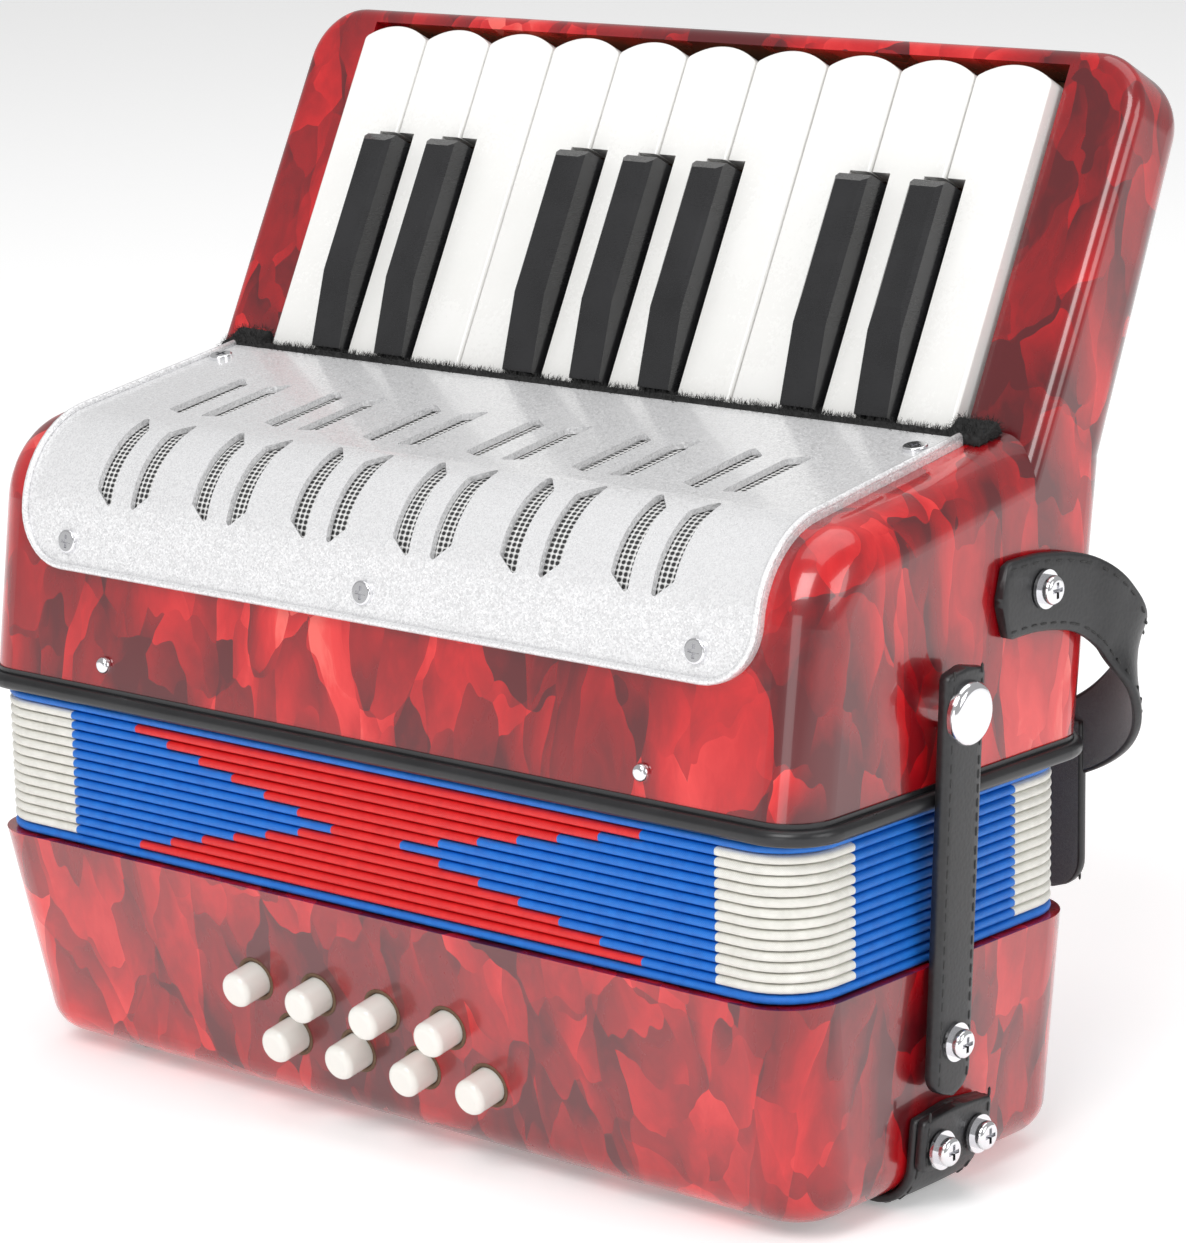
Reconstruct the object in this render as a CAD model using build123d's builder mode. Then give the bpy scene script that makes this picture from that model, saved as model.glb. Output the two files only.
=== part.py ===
"""Child's piano accordion: 17 piano keys, 8 bass buttons, closed bellows, standing on its bass end.

X runs along the keyboard, -Y is the front with the grille and the bass buttons, +Z points from
the bass end to the treble end.  The origin is on the floor, under the middle of the whole instrument.
"""
from build123d import *
from math import atan2, cos, radians, sin, tan
import os

os.makedirs("parts", exist_ok=True)

# ---------------------------------------------------------------- driving dimensions, millimetres
BODY_WIDTH = 230.0          # both boxes, along the keyboard
BASS_DEPTH = 96.0           # front to back at the bass rim
BASS_HEIGHT = 48.5          # bass box without its feet
BELLOWS_CLOSED = 32.5       # closed stack of folds
GASKET_HEIGHT = 4.5         # rubber bead round the treble mouth
TREBLE_DEPTH = 95.8         # front to back at the treble mouth
RIM_CENTRE_Y = -17.0        # middle of the bass rim, in front of the origin
TREBLE_SHIFT = 1.6          # middle of the treble mouth, behind the middle of the bass rim

WALL = 4.0                  # plywood walls of both boxes
FOOT_HEIGHT = 3.0
FOOT_RADIUS = 5.0
FOOT_INSET_X = 28.0
FOOT_INSET_Y = 20.0

BASS_END_INSET_X = 4.4      # each side is this much narrower at the bottom
BASS_FRONT_SETBACK = 9.2    # the front leans in by this much at the bottom
BASS_CORNER = 13.0
BASS_BOTTOM_ROUND = 8.0

FOLDS = 15
FOLD_DEPTH = 9.0
BELLOWS_INSET = 1.4         # folds stand inside the rims by this much
BELLOWS_CARD = 4.0          # thickness behind the deepest crease
BELLOWS_GAP = 0.3
FRAME_WIDTH = 6.0           # wooden bellows frames
FRAME_HEIGHT = 11.0
FRAME_GAP = 0.2

GASKET_PROUD = 2.4
GASKET_LIP = 1.0
PIN_RADIUS = 1.9
PIN_HEIGHT = 1.6
PIN_LENGTH = 10.0
PIN_SPACING = 150.8         # front pins, middle to middle
PIN_RISE = 4.8              # above the treble mouth

FRONT_LEAN = 8.0            # treble front, degrees from upright
FRONT_HEIGHT = 51.8         # treble mouth to the crest line
TOP_SLOPE = 8.9             # degrees, rising to the keyboard
BEND_RADIUS = 20.0
HOUSING_ROUND = 10.0        # front corners and upper side edges
BACK_LEAN = 8.0             # lower back
BACK_ROUND = 9.0

KEY_LEAN = 27.0             # keyboard, degrees from upright
KEY_RISE = 63.2             # treble mouth to the key tops at the felt
KEY_BACK = 26.8             # key tops at the felt, behind the middle of the treble mouth
CHEEK_DROP = 3.5            # cheeks lie below the key tops
BOARD_THICKNESS = 24.6      # key tops to the back of the board, at its top end
BOARD_BACK_LEAN = 23.5
BOARD_CORNER = 13.0
BOARD_EDGE_ROUND = 3.0
RIM_WIDTH = 3.8             # red rim past the key ends
KEY_END_GAP = 1.8
BED_DEPTH = 14.0            # key tops to the bed
BED_THICKNESS = 3.0

WHITE_KEYS = 10
KEY_PITCH = 19.1
KEY_GAP = 0.4
KEY_LENGTH = 77.7           # from the felt to the rounded end
KEY_END_RISE = 3.0          # of the rounded end
KEY_THICKNESS = 6.0
KEY_UNDER_FELT = 6.0
KEY_CORNER = 1.6
KEY_EDGE_ROUND = 0.8
BLACK_AFTER = (1, 2, 4, 5, 6, 8, 9)   # a black key follows these white keys
BLACK_LENGTH = 50.0
BLACK_WIDTH = 8.4
BLACK_HEIGHT = 6.5
BLACK_FELT_HEIGHT = 2.2
BLACK_KINK = 22.0           # where the slope to the felt starts
BLACK_CHAMFER = 1.0
NOTCH_WIDTH = 10.4
NOTCH_GAP = 2.2
WELL_GAP = 0.9              # outer keys to the cheeks
LEVER_WIDTH = 5.0
LEVER_HEIGHT = 4.0
LEVER_LENGTH = 60.0         # white keys, from the felt
BLACK_LEVER_LENGTH = 48.0
AXLE_ALONG = -8.0           # axle place, along the keys and below their tops
AXLE_DEPTH = 8.0
AXLE_RADIUS = 1.5
AXLE_SEAT = 2.0             # how far the axle enters each side wall
RUNNING_GAP = 0.05
BOSS_RADIUS = 4.5

SOUNDBOARD_RISE = 15.0      # treble mouth to the top of the soundboard
SOUNDBOARD_THICKNESS = 3.5
PALLET_WIDTH = 8.0
PALLET_LENGTH = 24.0
PALLET_THICKNESS = 4.0
PALLET_CENTRE = -9.0        # from the middle of the treble mouth
PALLET_GAP = 0.3
PORT_WIDTH = 5.0
PORT_LENGTH = 18.0
REED_BLOCK_HEIGHT = 22.0
REED_BLOCK_DEPTH = 26.0
REED_CHAMBER_WALL = 2.0
REED_PLATE_THICKNESS = 1.2

SPRING_ALONG = 22.0         # foot of the key springs
SPRING_TIP = 4.0
SPRING_THICKNESS = 0.4
SPRING_TIP_DEPTH = 11.4
SPRING_FOOT = 6.0
SPRING_WIDTH = 3.0

GRILLE_HALF_WIDTH = 102.2
GRILLE_THICKNESS = 1.4
GRILLE_LOW_RISE = 24.0      # treble mouth to the lower edge
GRILLE_REAR = 21.1          # rear edge, behind the middle of the treble mouth
GRILLE_CORNER = 13.0
OPENING_HALF_WIDTH = 90.0   # sound opening behind the grille
OPENING_RISE = 33.0
SLOT_PAIRS = 6
SLOT_PITCH = 28.9
SLOT_INNER = 2.9            # from the middle of a pair
SLOT_OUTER = 8.0
LOWER_SLOT = ((38.1, 42.7), (-32.0, -26.0))   # rises of inner tip and outer corner, then inner and outer rear ends
UPPER_SLOT = ((-21.9, -20.3), (-1.1, 2.8))    # inner and outer front ends, then inner and outer rear ends
MESH_THICKNESS = 0.6
MESH_GAP = 0.2
MESH_MARGIN = 1.5

SCREW_HEAD_RADIUS = 2.6
SCREW_HEAD_HEIGHT = 1.0
SCREW_RADIUS = 1.3
SCREW_LENGTH = 5.0
GRILLE_SCREW_X = 87.5
GRILLE_SCREW_RISE = 30.0
GRILLE_REAR_SCREW_X = 97.0
GRILLE_REAR_SCREW_Y = 12.6

FELT_HEIGHT = 3.2
FELT_GAP = 0.4
FELT_HALF_WIDTH = 106.0

BUTTON_COLUMNS = 4
BUTTON_PITCH = 18.4
BUTTON_PATTERN_X = -2.4     # middle of the whole pattern
BUTTON_ROWS = (16.0, 27.0)  # height of the rows above the bass box's bottom
BUTTON_RADIUS = 3.9
BUTTON_PROUD = 7.2
BUTTON_HOLE_GAP = 0.7
BUTTON_TRAVEL = 4.0
BUTTON_DOME = 1.6
STEM_RADIUS = 2.0
ACTION_GAP = 13.0           # case front to the bass soundboard
BASS_BOARD_THICKNESS = 3.0
BASS_BOARD_SIZE = (96.0, 36.0)
BASS_PALLET_RADIUS = 4.0
BASS_PALLET_THICKNESS = 2.0
BASS_BLOCK_SIZE = (90.0, 30.0, 26.0)
CHAMBER_DEPTH = 12.0
CHAMBER_RADIUS = 5.0
COIL_WIRE = 0.35
COIL_TURNS = 4

STRAP_THICKNESS = 2.8
STRAP_WIDTH = 12.6
STRAP_Y = -2.3              # behind the middle of the bass rim
STRAP_LEAN = 2.5            # degrees, outwards to the top
STRAP_LOW_RISE = 21.6       # above the bass box's bottom
STRAP_PIVOT_RISE = 33.0
STRAP_TOP_RISE = 24.0       # above the treble mouth
STRAP_OFF_GASKET = 0.35
SNAP_RISE = 14.9            # above the treble mouth
SNAP_RADIUS = 6.5
SNAP_HEIGHT = 2.4
STUD_RADIUS = 4.0
STUD_GAP = 0.3
WASHER_RADIUS = 4.0
WASHER_THICKNESS = 0.7
WASHER_GAP = 0.3
BIG_HEAD_RADIUS = 3.0
BIG_HEAD_HEIGHT = 2.4
BIG_SCREW_RADIUS = 1.5

HAND_STRAP_WIDTH = 22.0
HAND_STRAP_THICKNESS = 2.0
HAND_STRAP_GAP = 0.2
HAND_STRAP_Y = 2.0
HAND_TAB_HEIGHT = 18.4
HAND_TAB_EXTRA = 2.2
HAND_SCREW_SPACING = 12.4
HAND_SCREW_RISE = 10.4

SHOULDER_WIDTH = 16.0
SHOULDER_THICKNESS = 2.2
SHOULDER_GAP = 0.3
SHOULDER_SCREW_Y = 27.3     # behind the middle of the treble mouth
SHOULDER_SCREW_RISE = 33.3
# route of the hanging strap, right half: out from the side wall, behind the treble mouth's middle,
# above the treble mouth
SHOULDER_ROUTE = ((0.0, 13.5, 32.6), (0.0, 28.0, 32.4), (0.6, 42.0, 29.5), (1.6, 52.0, 23.0), (1.2, 58.5, 13.5),
                  (-4.0, 63.5, 2.5), (-13.0, 66.0, -5.5), (-26.0, 66.0, -11.0), (-45.0, 63.0, -16.0),
                  (-75.0, 60.0, -19.0))
TAIL_X = 93.5               # middle of the shoulder strap's loose end
TAIL_Y = 65.6               # behind the middle of the treble mouth
TAIL_DROP = 41.0            # its rounded tip, below the treble mouth
TAIL_TOP_DROP = 4.0

# ---------------------------------------------------------------- places that follow from them
HALF = BODY_WIDTH / 2
BASS_BOTTOM = FOOT_HEIGHT
BASS_RIM = BASS_BOTTOM + BASS_HEIGHT
TREBLE_MOUTH = BASS_RIM + BELLOWS_CLOSED + GASKET_HEIGHT
TREBLE_Y = RIM_CENTRE_Y + TREBLE_SHIFT
TREBLE_FRONT = TREBLE_Y - TREBLE_DEPTH / 2
TREBLE_BACK = TREBLE_Y + TREBLE_DEPTH / 2
BASS_FRONT = RIM_CENTRE_Y - BASS_DEPTH / 2
KEY_Y = TREBLE_Y + KEY_BACK
KEY_Z = TREBLE_MOUTH + KEY_RISE
LEAN = radians(KEY_LEAN)
BOARD_TOP = KEY_LENGTH + KEY_END_GAP + RIM_WIDTH
KEYBOARD_WIDTH = WHITE_KEYS * KEY_PITCH
WELL_HALF_WIDTH = KEYBOARD_WIDTH / 2 + WELL_GAP
FACE_LEAN = atan2(BASS_FRONT_SETBACK, BASS_HEIGHT)


def board_point(along, depth):
    """(y, z) of a place given along the keys from the felt and by its depth below the key tops."""
    y = KEY_Y + along * sin(LEAN) + depth * cos(LEAN)
    z = KEY_Z + along * cos(LEAN) - depth * sin(LEAN)
    return (y, z)


def key_plane(x, depth):
    """Plane parallel to the key tops: its X is the body's X, its Y runs along the keys."""
    y, z = board_point(0, depth)
    return Plane(origin=(x, y, z), x_dir=(1, 0, 0), z_dir=(0, -cos(LEAN), sin(LEAN)))


def face_point(x, rise, proud):
    """Point on or in front of the bass box's leaning front, at a height above the box's bottom."""
    y = BASS_FRONT + (BASS_HEIGHT - rise) * tan(FACE_LEAN) - proud * cos(FACE_LEAN)
    return (x, y, BASS_BOTTOM + rise - proud * sin(FACE_LEAN))


def face_plane(x, rise, proud):
    """Plane parallel to the bass box's front, facing inwards."""
    return Plane(origin=face_point(x, rise, proud), x_dir=(1, 0, 0),
                 z_dir=(0, cos(FACE_LEAN), sin(FACE_LEAN)))


def bass_side(rise):
    """Half width of the bass box at a height above its bottom."""
    return HALF - BASS_END_INSET_X * (1 - rise / BASS_HEIGHT)


def near(y, z, tolerance=0.5):
    """Test for the edges along X that pass a place in the side view."""
    return lambda edge: (edge.center() - Vector(0, y, z)).length < tolerance


def grille_front(x, rise, proud):
    """Plane facing into the grille's front, at a height above the treble mouth."""
    lean = radians(FRONT_LEAN)
    reach = GRILLE_THICKNESS + proud
    y = TREBLE_FRONT + rise * tan(lean) - reach * cos(lean)
    return Plane(origin=(x, y, TREBLE_MOUTH + rise + reach * sin(lean)), x_dir=(1, 0, 0),
                 z_dir=(0, cos(lean), -sin(lean)))


def grille_top(x, y, proud):
    """Plane facing into the grille's sloping top; y is behind the middle of the treble mouth."""
    slope = radians(TOP_SLOPE)
    reach = GRILLE_THICKNESS + proud
    z = crest[1] + (TREBLE_Y + y - crest[0]) * tan(slope) + reach * cos(slope)
    return Plane(origin=(x, TREBLE_Y + y - reach * sin(slope), z), x_dir=(1, 0, 0),
                 z_dir=(0, sin(slope), -cos(slope)))


strap_inside = HALF + GASKET_PROUD + STRAP_OFF_GASKET
strap_y = RIM_CENTRE_Y + STRAP_Y
strap_low = BASS_BOTTOM + STRAP_LOW_RISE
strap_high = TREBLE_MOUTH + STRAP_TOP_RISE
pivot_z = BASS_BOTTOM + STRAP_PIVOT_RISE
snap_z = TREBLE_MOUTH + SNAP_RISE


def side_plane(side, reach, y, z):
    """Plane on a side of the body, a distance out from its middle, facing inwards."""
    return Plane(origin=(side * reach, y, z), x_dir=(0, 1, 0), z_dir=(-side, 0, 0))


def strap_plane(side, proud, z):
    """Plane parallel to a leaning bellows strap, a distance out from its inner face, facing inwards."""
    lean = radians(STRAP_LEAN)
    reach = strap_inside + (z - TREBLE_MOUTH) * tan(lean)
    return Plane(origin=(side * (reach + proud * cos(lean)), strap_y, z - proud * sin(lean)), x_dir=(0, 1, 0),
                 z_dir=(-side * cos(lean), 0, sin(lean)))


def cross_screw(places, head_radius, head_height, shank_radius, shank_length):
    """Pan-head screws with a cross recess; each plane lies on the head's top and faces inwards."""
    with BuildPart() as screws:
        for place in places:
            with BuildSketch(place):
                Circle(head_radius)
            extrude(amount=head_height)
            rims = screws.edges().filter_by(GeomType.CIRCLE).sort_by_distance(place.origin)
            fillet(rims[0], radius=head_height * 0.45)
            with BuildSketch(place):
                Circle(shank_radius)
            extrude(amount=head_height + shank_length)
            with BuildSketch(place):
                Rectangle(head_radius * 1.1, head_radius * 0.28)
                Rectangle(head_radius * 0.28, head_radius * 1.1)
            extrude(amount=head_height * 0.6, mode=Mode.SUBTRACT)
    return screws


axle_y, axle_z = board_point(AXLE_ALONG, AXLE_DEPTH)
crest = (TREBLE_FRONT + FRONT_HEIGHT * tan(radians(FRONT_LEAN)), TREBLE_MOUTH + FRONT_HEIGHT)
grille_screw_planes = [grille_front(x, GRILLE_SCREW_RISE, SCREW_HEAD_HEIGHT)
                       for x in (-GRILLE_SCREW_X, 0, GRILLE_SCREW_X)]
grille_screw_planes += [grille_top(x, GRILLE_REAR_SCREW_Y, SCREW_HEAD_HEIGHT)
                        for x in (-GRILLE_REAR_SCREW_X, GRILLE_REAR_SCREW_X)]
button_places = []
for row, rise in enumerate(BUTTON_ROWS):
    for column in range(BUTTON_COLUMNS):
        shift = BUTTON_PITCH / 4 if row == 0 else -BUTTON_PITCH / 4
        button_places.append((BUTTON_PATTERN_X + shift + (column - 1.5) * BUTTON_PITCH, rise))
white_x = [(index - (WHITE_KEYS - 1) / 2) * KEY_PITCH for index in range(WHITE_KEYS)]
black_x = [(after - WHITE_KEYS / 2) * KEY_PITCH for after in BLACK_AFTER]

# ================================================================ bass end
with BuildPart() as bass_case:
    with BuildSketch(Plane.XY.offset(BASS_BOTTOM)):
        with Locations((0, RIM_CENTRE_Y + BASS_FRONT_SETBACK / 2)):
            RectangleRounded(BODY_WIDTH - 2 * BASS_END_INSET_X, BASS_DEPTH - BASS_FRONT_SETBACK, BASS_CORNER)
    with BuildSketch(Plane.XY.offset(BASS_RIM)):
        with Locations((0, RIM_CENTRE_Y)):
            RectangleRounded(BODY_WIDTH, BASS_DEPTH, BASS_CORNER)
    loft(ruled=True)
    fillet(bass_case.faces().sort_by(Axis.Z)[0].edges(), radius=BASS_BOTTOM_ROUND)
    with BuildSketch(Plane.XY.offset(BASS_BOTTOM + WALL)):
        with Locations((0, RIM_CENTRE_Y + BASS_FRONT_SETBACK / 2)):
            RectangleRounded(BODY_WIDTH - 2 * (BASS_END_INSET_X + WALL), BASS_DEPTH - BASS_FRONT_SETBACK - 2 * WALL,
                             BASS_CORNER - WALL)
    with BuildSketch(Plane.XY.offset(BASS_RIM)):
        with Locations((0, RIM_CENTRE_Y)):
            RectangleRounded(BODY_WIDTH - 2 * WALL, BASS_DEPTH - 2 * WALL, BASS_CORNER - WALL)
    loft(ruled=True, mode=Mode.SUBTRACT)
    for x, rise in button_places:
        with BuildSketch(face_plane(x, rise, BUTTON_PROUD)):
            Circle(BUTTON_RADIUS + BUTTON_HOLE_GAP)
        extrude(amount=BUTTON_PROUD + 2 * WALL, mode=Mode.SUBTRACT)
    for side in (-1, 1):
        with BuildSketch(strap_plane(side, 0, pivot_z)):
            Circle(BIG_SCREW_RADIUS)
        extrude(amount=WALL + BASS_END_INSET_X, mode=Mode.SUBTRACT)
        with BuildSketch(Plane.YZ.offset(side * HALF)):
            with Locations((RIM_CENTRE_Y + HAND_STRAP_Y, BASS_BOTTOM + HAND_SCREW_RISE)):
                with GridLocations(HAND_SCREW_SPACING, 0, 2, 1):
                    Circle(BIG_SCREW_RADIUS)
        extrude(amount=-side * (WALL + BASS_END_INSET_X), mode=Mode.SUBTRACT)
bass_case.part.label = "bass_case"
export_step(bass_case.part, "parts/bass_case.step")

foot_x = BODY_WIDTH / 2 - FOOT_INSET_X
foot_y = BASS_DEPTH / 2 - FOOT_INSET_Y
with BuildPart() as bass_feet:
    with BuildSketch(Plane.XY):
        with Locations((0, RIM_CENTRE_Y + BASS_FRONT_SETBACK / 2)):
            with GridLocations(2 * foot_x, 2 * foot_y, 2, 2):
                Circle(FOOT_RADIUS)
    extrude(amount=FOOT_HEIGHT)
    chamfer(bass_feet.faces().filter_by(Axis.Z).group_by(Axis.Z)[0].edges(), length=0.5)
bass_feet.part.label = "bass_feet"
export_step(bass_feet.part, "parts/bass_feet.step")

# the bass action: a board behind the buttons, a reed block with one chamber for each pallet
board_middle = sum(BUTTON_ROWS) / 2
with BuildPart() as bass_soundboard:
    with BuildSketch(face_plane(BUTTON_PATTERN_X, board_middle, -ACTION_GAP)):
        RectangleRounded(*BASS_BOARD_SIZE, 2)
    extrude(amount=BASS_BOARD_THICKNESS)
    for x, rise in button_places:
        with BuildSketch(face_plane(x, rise, -ACTION_GAP)):
            Circle(STEM_RADIUS + RUNNING_GAP)
        extrude(amount=BASS_BOARD_THICKNESS, mode=Mode.SUBTRACT)
bass_soundboard.part.label = "bass_soundboard"
export_step(bass_soundboard.part, "parts/bass_soundboard.step")

block_start = ACTION_GAP + BASS_BOARD_THICKNESS
with BuildPart() as bass_reed_block:
    with BuildSketch(face_plane(BUTTON_PATTERN_X, board_middle, -block_start)):
        Rectangle(BASS_BLOCK_SIZE[0], BASS_BLOCK_SIZE[1])
    extrude(amount=BASS_BLOCK_SIZE[2])
    for x, rise in button_places:
        with BuildSketch(face_plane(x, rise, -block_start)):
            Circle(CHAMBER_RADIUS)
        extrude(amount=CHAMBER_DEPTH, mode=Mode.SUBTRACT)
        with BuildSketch(face_plane(x, rise, -block_start)):
            Rectangle(2, 8)
        extrude(amount=BASS_BLOCK_SIZE[2], mode=Mode.SUBTRACT)
bass_reed_block.part.label = "bass_reed_block"
export_step(bass_reed_block.part, "parts/bass_reed_block.step")

with BuildPart() as bass_reed_plates:
    for x, rise in button_places:
        with BuildSketch(face_plane(x, rise, -block_start - BASS_BLOCK_SIZE[2])):
            Rectangle(7, 10.4)
            Rectangle(1.6, 7.6, mode=Mode.SUBTRACT)
        extrude(amount=REED_PLATE_THICKNESS)
bass_reed_plates.part.label = "bass_reed_plates"
export_step(bass_reed_plates.part, "parts/bass_reed_plates.step")

head_length = BUTTON_PROUD + WALL
for number, (x, rise) in enumerate(button_places, start=1):
    with BuildPart() as bass_button:
        with BuildSketch(face_plane(x, rise, BUTTON_PROUD)):
            Circle(BUTTON_RADIUS)
        extrude(amount=head_length)
        fillet(bass_button.edges().sort_by(Axis.Y)[0], radius=BUTTON_DOME)
        with BuildSketch(face_plane(x, rise, BUTTON_PROUD - head_length)):
            Circle(STEM_RADIUS)
        extrude(amount=block_start + PALLET_GAP - WALL)
        with BuildSketch(face_plane(x, rise, -block_start - PALLET_GAP)):
            Circle(BASS_PALLET_RADIUS)
        extrude(amount=BASS_PALLET_THICKNESS)
    bass_button.part.label = f"bass_button_{number}"
    export_step(bass_button.part, f"parts/bass_button_{number}.step")

coil_radius = STEM_RADIUS + 2 * COIL_WIRE + 0.3
coil_height = ACTION_GAP - WALL - BUTTON_TRAVEL - 4 * COIL_WIRE
with BuildPart() as button_springs:
    for x, rise in button_places:
        foot = face_plane(x, rise, -ACTION_GAP + COIL_WIRE + 0.1)
        with BuildLine():
            coil = Helix(pitch=coil_height / COIL_TURNS, height=coil_height, radius=coil_radius,
                         center=foot.origin, direction=-foot.z_dir)
        with BuildSketch(Plane(origin=coil @ 0, z_dir=coil % 0)):
            Circle(COIL_WIRE)
        sweep(path=coil)
button_springs.part.label = "button_springs"
export_step(button_springs.part, "parts/button_springs.step")

# ================================================================ bellows and their frames
with BuildPart() as bellows_frame_bass:
    with BuildSketch(Plane.XY.offset(BASS_RIM - FRAME_HEIGHT)):
        with Locations((0, RIM_CENTRE_Y + BASS_FRONT_SETBACK * FRAME_HEIGHT / BASS_HEIGHT / 2)):
            slack = 2 * (WALL + FRAME_GAP + BASS_END_INSET_X * FRAME_HEIGHT / BASS_HEIGHT)
            depth = BASS_DEPTH - 2 * (WALL + FRAME_GAP) - BASS_FRONT_SETBACK * FRAME_HEIGHT / BASS_HEIGHT
            RectangleRounded(BODY_WIDTH - slack, depth, BASS_CORNER - WALL)
            RectangleRounded(BODY_WIDTH - slack - 2 * FRAME_WIDTH, depth - 2 * FRAME_WIDTH, 3, mode=Mode.SUBTRACT)
    extrude(amount=FRAME_HEIGHT)
bellows_frame_bass.part.label = "bellows_frame_bass"
export_step(bellows_frame_bass.part, "parts/bellows_frame_bass.step")

bellows_width = BODY_WIDTH - 2 * BELLOWS_INSET
bellows_depth = BASS_DEPTH - 2 * BELLOWS_INSET
bellows_low = BASS_RIM + BELLOWS_GAP / 2
bellows_pitch = (BELLOWS_CLOSED - BELLOWS_GAP) / FOLDS
with BuildPart() as bellows:
    for half_fold in range(2 * FOLDS + 1):
        inset = FOLD_DEPTH if half_fold % 2 == 0 else 0
        with BuildSketch(Plane.XY.offset(bellows_low + half_fold * bellows_pitch / 2)):
            with Locations((0, RIM_CENTRE_Y)):
                RectangleRounded(bellows_width - 2 * inset, bellows_depth - 2 * inset, BASS_CORNER - inset)
    loft(ruled=True)
    with BuildSketch(Plane.XY.offset(bellows_low)):
        with Locations((0, RIM_CENTRE_Y)):
            hollow = 2 * (FOLD_DEPTH + BELLOWS_CARD)
            RectangleRounded(bellows_width - hollow, bellows_depth - hollow, 3)
    extrude(amount=BELLOWS_CLOSED - BELLOWS_GAP, mode=Mode.SUBTRACT)
bellows.part.label = "bellows"
export_step(bellows.part, "parts/bellows.step")

mouth_width = BODY_WIDTH - 2 * WALL
mouth_depth = TREBLE_DEPTH - 2 * WALL
with BuildPart() as bellows_frame_treble:
    with BuildSketch(Plane.XY.offset(TREBLE_MOUTH)):
        with Locations((0, TREBLE_Y)):
            RectangleRounded(mouth_width - 2 * FRAME_GAP, mouth_depth - 2 * FRAME_GAP, HOUSING_ROUND - WALL)
            RectangleRounded(mouth_width - 2 * FRAME_WIDTH, mouth_depth - 2 * FRAME_WIDTH, 3, mode=Mode.SUBTRACT)
    extrude(amount=FRAME_HEIGHT)
    split(bisect_by=Plane(origin=(0, TREBLE_FRONT + WALL + FRAME_GAP, TREBLE_MOUTH), x_dir=(1, 0, 0),
                          z_dir=(0, cos(radians(FRONT_LEAN)), -sin(radians(FRONT_LEAN)))), keep=Keep.TOP)
    with BuildSketch(Plane.XZ.offset(-TREBLE_FRONT)):
        with Locations((0, TREBLE_MOUTH + PIN_RISE)):
            with GridLocations(PIN_SPACING, 0, 2, 1):
                Circle(PIN_RADIUS / 2)
    extrude(amount=-TREBLE_DEPTH, mode=Mode.SUBTRACT)
bellows_frame_treble.part.label = "bellows_frame_treble"
export_step(bellows_frame_treble.part, "parts/bellows_frame_treble.step")

with BuildPart() as treble_gasket:
    with BuildSketch(Plane.XY.offset(TREBLE_MOUTH - GASKET_HEIGHT)):
        with Locations((0, TREBLE_Y)):
            RectangleRounded(BODY_WIDTH + 2 * GASKET_PROUD, TREBLE_DEPTH + 2 * GASKET_PROUD,
                             HOUSING_ROUND + GASKET_PROUD)
    extrude(amount=GASKET_HEIGHT - GASKET_LIP)
    fillet(treble_gasket.edges().group_by(Axis.Z)[0] + treble_gasket.edges().group_by(Axis.Z)[-1], radius=1.6)
    with BuildSketch(Plane.XY.offset(TREBLE_MOUTH - GASKET_HEIGHT)):
        with Locations((0, TREBLE_Y)):
            RectangleRounded(BODY_WIDTH + 0.8, TREBLE_DEPTH + 0.8, HOUSING_ROUND)
    extrude(amount=GASKET_HEIGHT)
    with BuildSketch(Plane.XY.offset(TREBLE_MOUTH - GASKET_HEIGHT)):
        with Locations((0, TREBLE_Y)):
            RectangleRounded(mouth_width - 2 * FRAME_WIDTH, mouth_depth - 2 * FRAME_WIDTH, 3)
    extrude(amount=GASKET_HEIGHT, mode=Mode.SUBTRACT)
treble_gasket.part.label = "treble_gasket"
export_step(treble_gasket.part, "parts/treble_gasket.step")

# ================================================================ treble box with the keyboard board
cheek_foot = board_point(-KEY_UNDER_FELT, CHEEK_DROP)
top_rear = (cheek_foot[0] + 6, crest[1] + (cheek_foot[0] + 6 - crest[0]) * tan(radians(TOP_SLOPE)))
board_back_top = board_point(BOARD_TOP, BOARD_THICKNESS)
back_slope = tan(radians(BOARD_BACK_LEAN))
low_slope = tan(radians(BACK_LEAN))
kink_z = (board_back_top[0] - TREBLE_BACK - back_slope * board_back_top[1] + low_slope * TREBLE_MOUTH) / (
    low_slope - back_slope)
kink = (TREBLE_BACK + low_slope * (kink_z - TREBLE_MOUTH), kink_z)

with BuildSketch(Plane.YZ) as housing_outline:
    with BuildLine():
        Polyline((TREBLE_FRONT, TREBLE_MOUTH), crest, top_rear, kink, (TREBLE_BACK, TREBLE_MOUTH), close=True)
    make_face()
    fillet(housing_outline.vertices().sort_by_distance((*crest, 0))[0], radius=BEND_RADIUS)

board_low = board_point(-KEY_UNDER_FELT - 14, CHEEK_DROP)
board_back_low = (kink[0] - 8 * back_slope, kink[1] - 8)
with BuildPart() as keyboard_slab:
    with BuildSketch(Plane.YZ):
        with BuildLine():
            Polyline(board_low, board_point(BOARD_TOP, CHEEK_DROP), board_back_top, board_back_low, close=True)
        make_face()
    extrude(amount=HALF, both=True)
    across = keyboard_slab.edges().filter_by(Axis((0, 0, 0), (0, cos(LEAN), -sin(LEAN))))
    fillet(across.group_by(Axis.Z)[-1], radius=BOARD_CORNER)
    front_face = keyboard_slab.faces().sort_by(Axis((0, 0, 0), (0, -cos(LEAN), sin(LEAN))))[-1]
    fillet(front_face.edges().group_by(Axis.Z)[1:], radius=BOARD_EDGE_ROUND)
    back_face = keyboard_slab.faces().sort_by(Axis((0, 0, 0), (0, cos(radians(BOARD_BACK_LEAN)),
                                                              -sin(radians(BOARD_BACK_LEAN)))))[-1]
    fillet(back_face.edges().group_by(Axis.Z)[1:], radius=BACK_ROUND)

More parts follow.
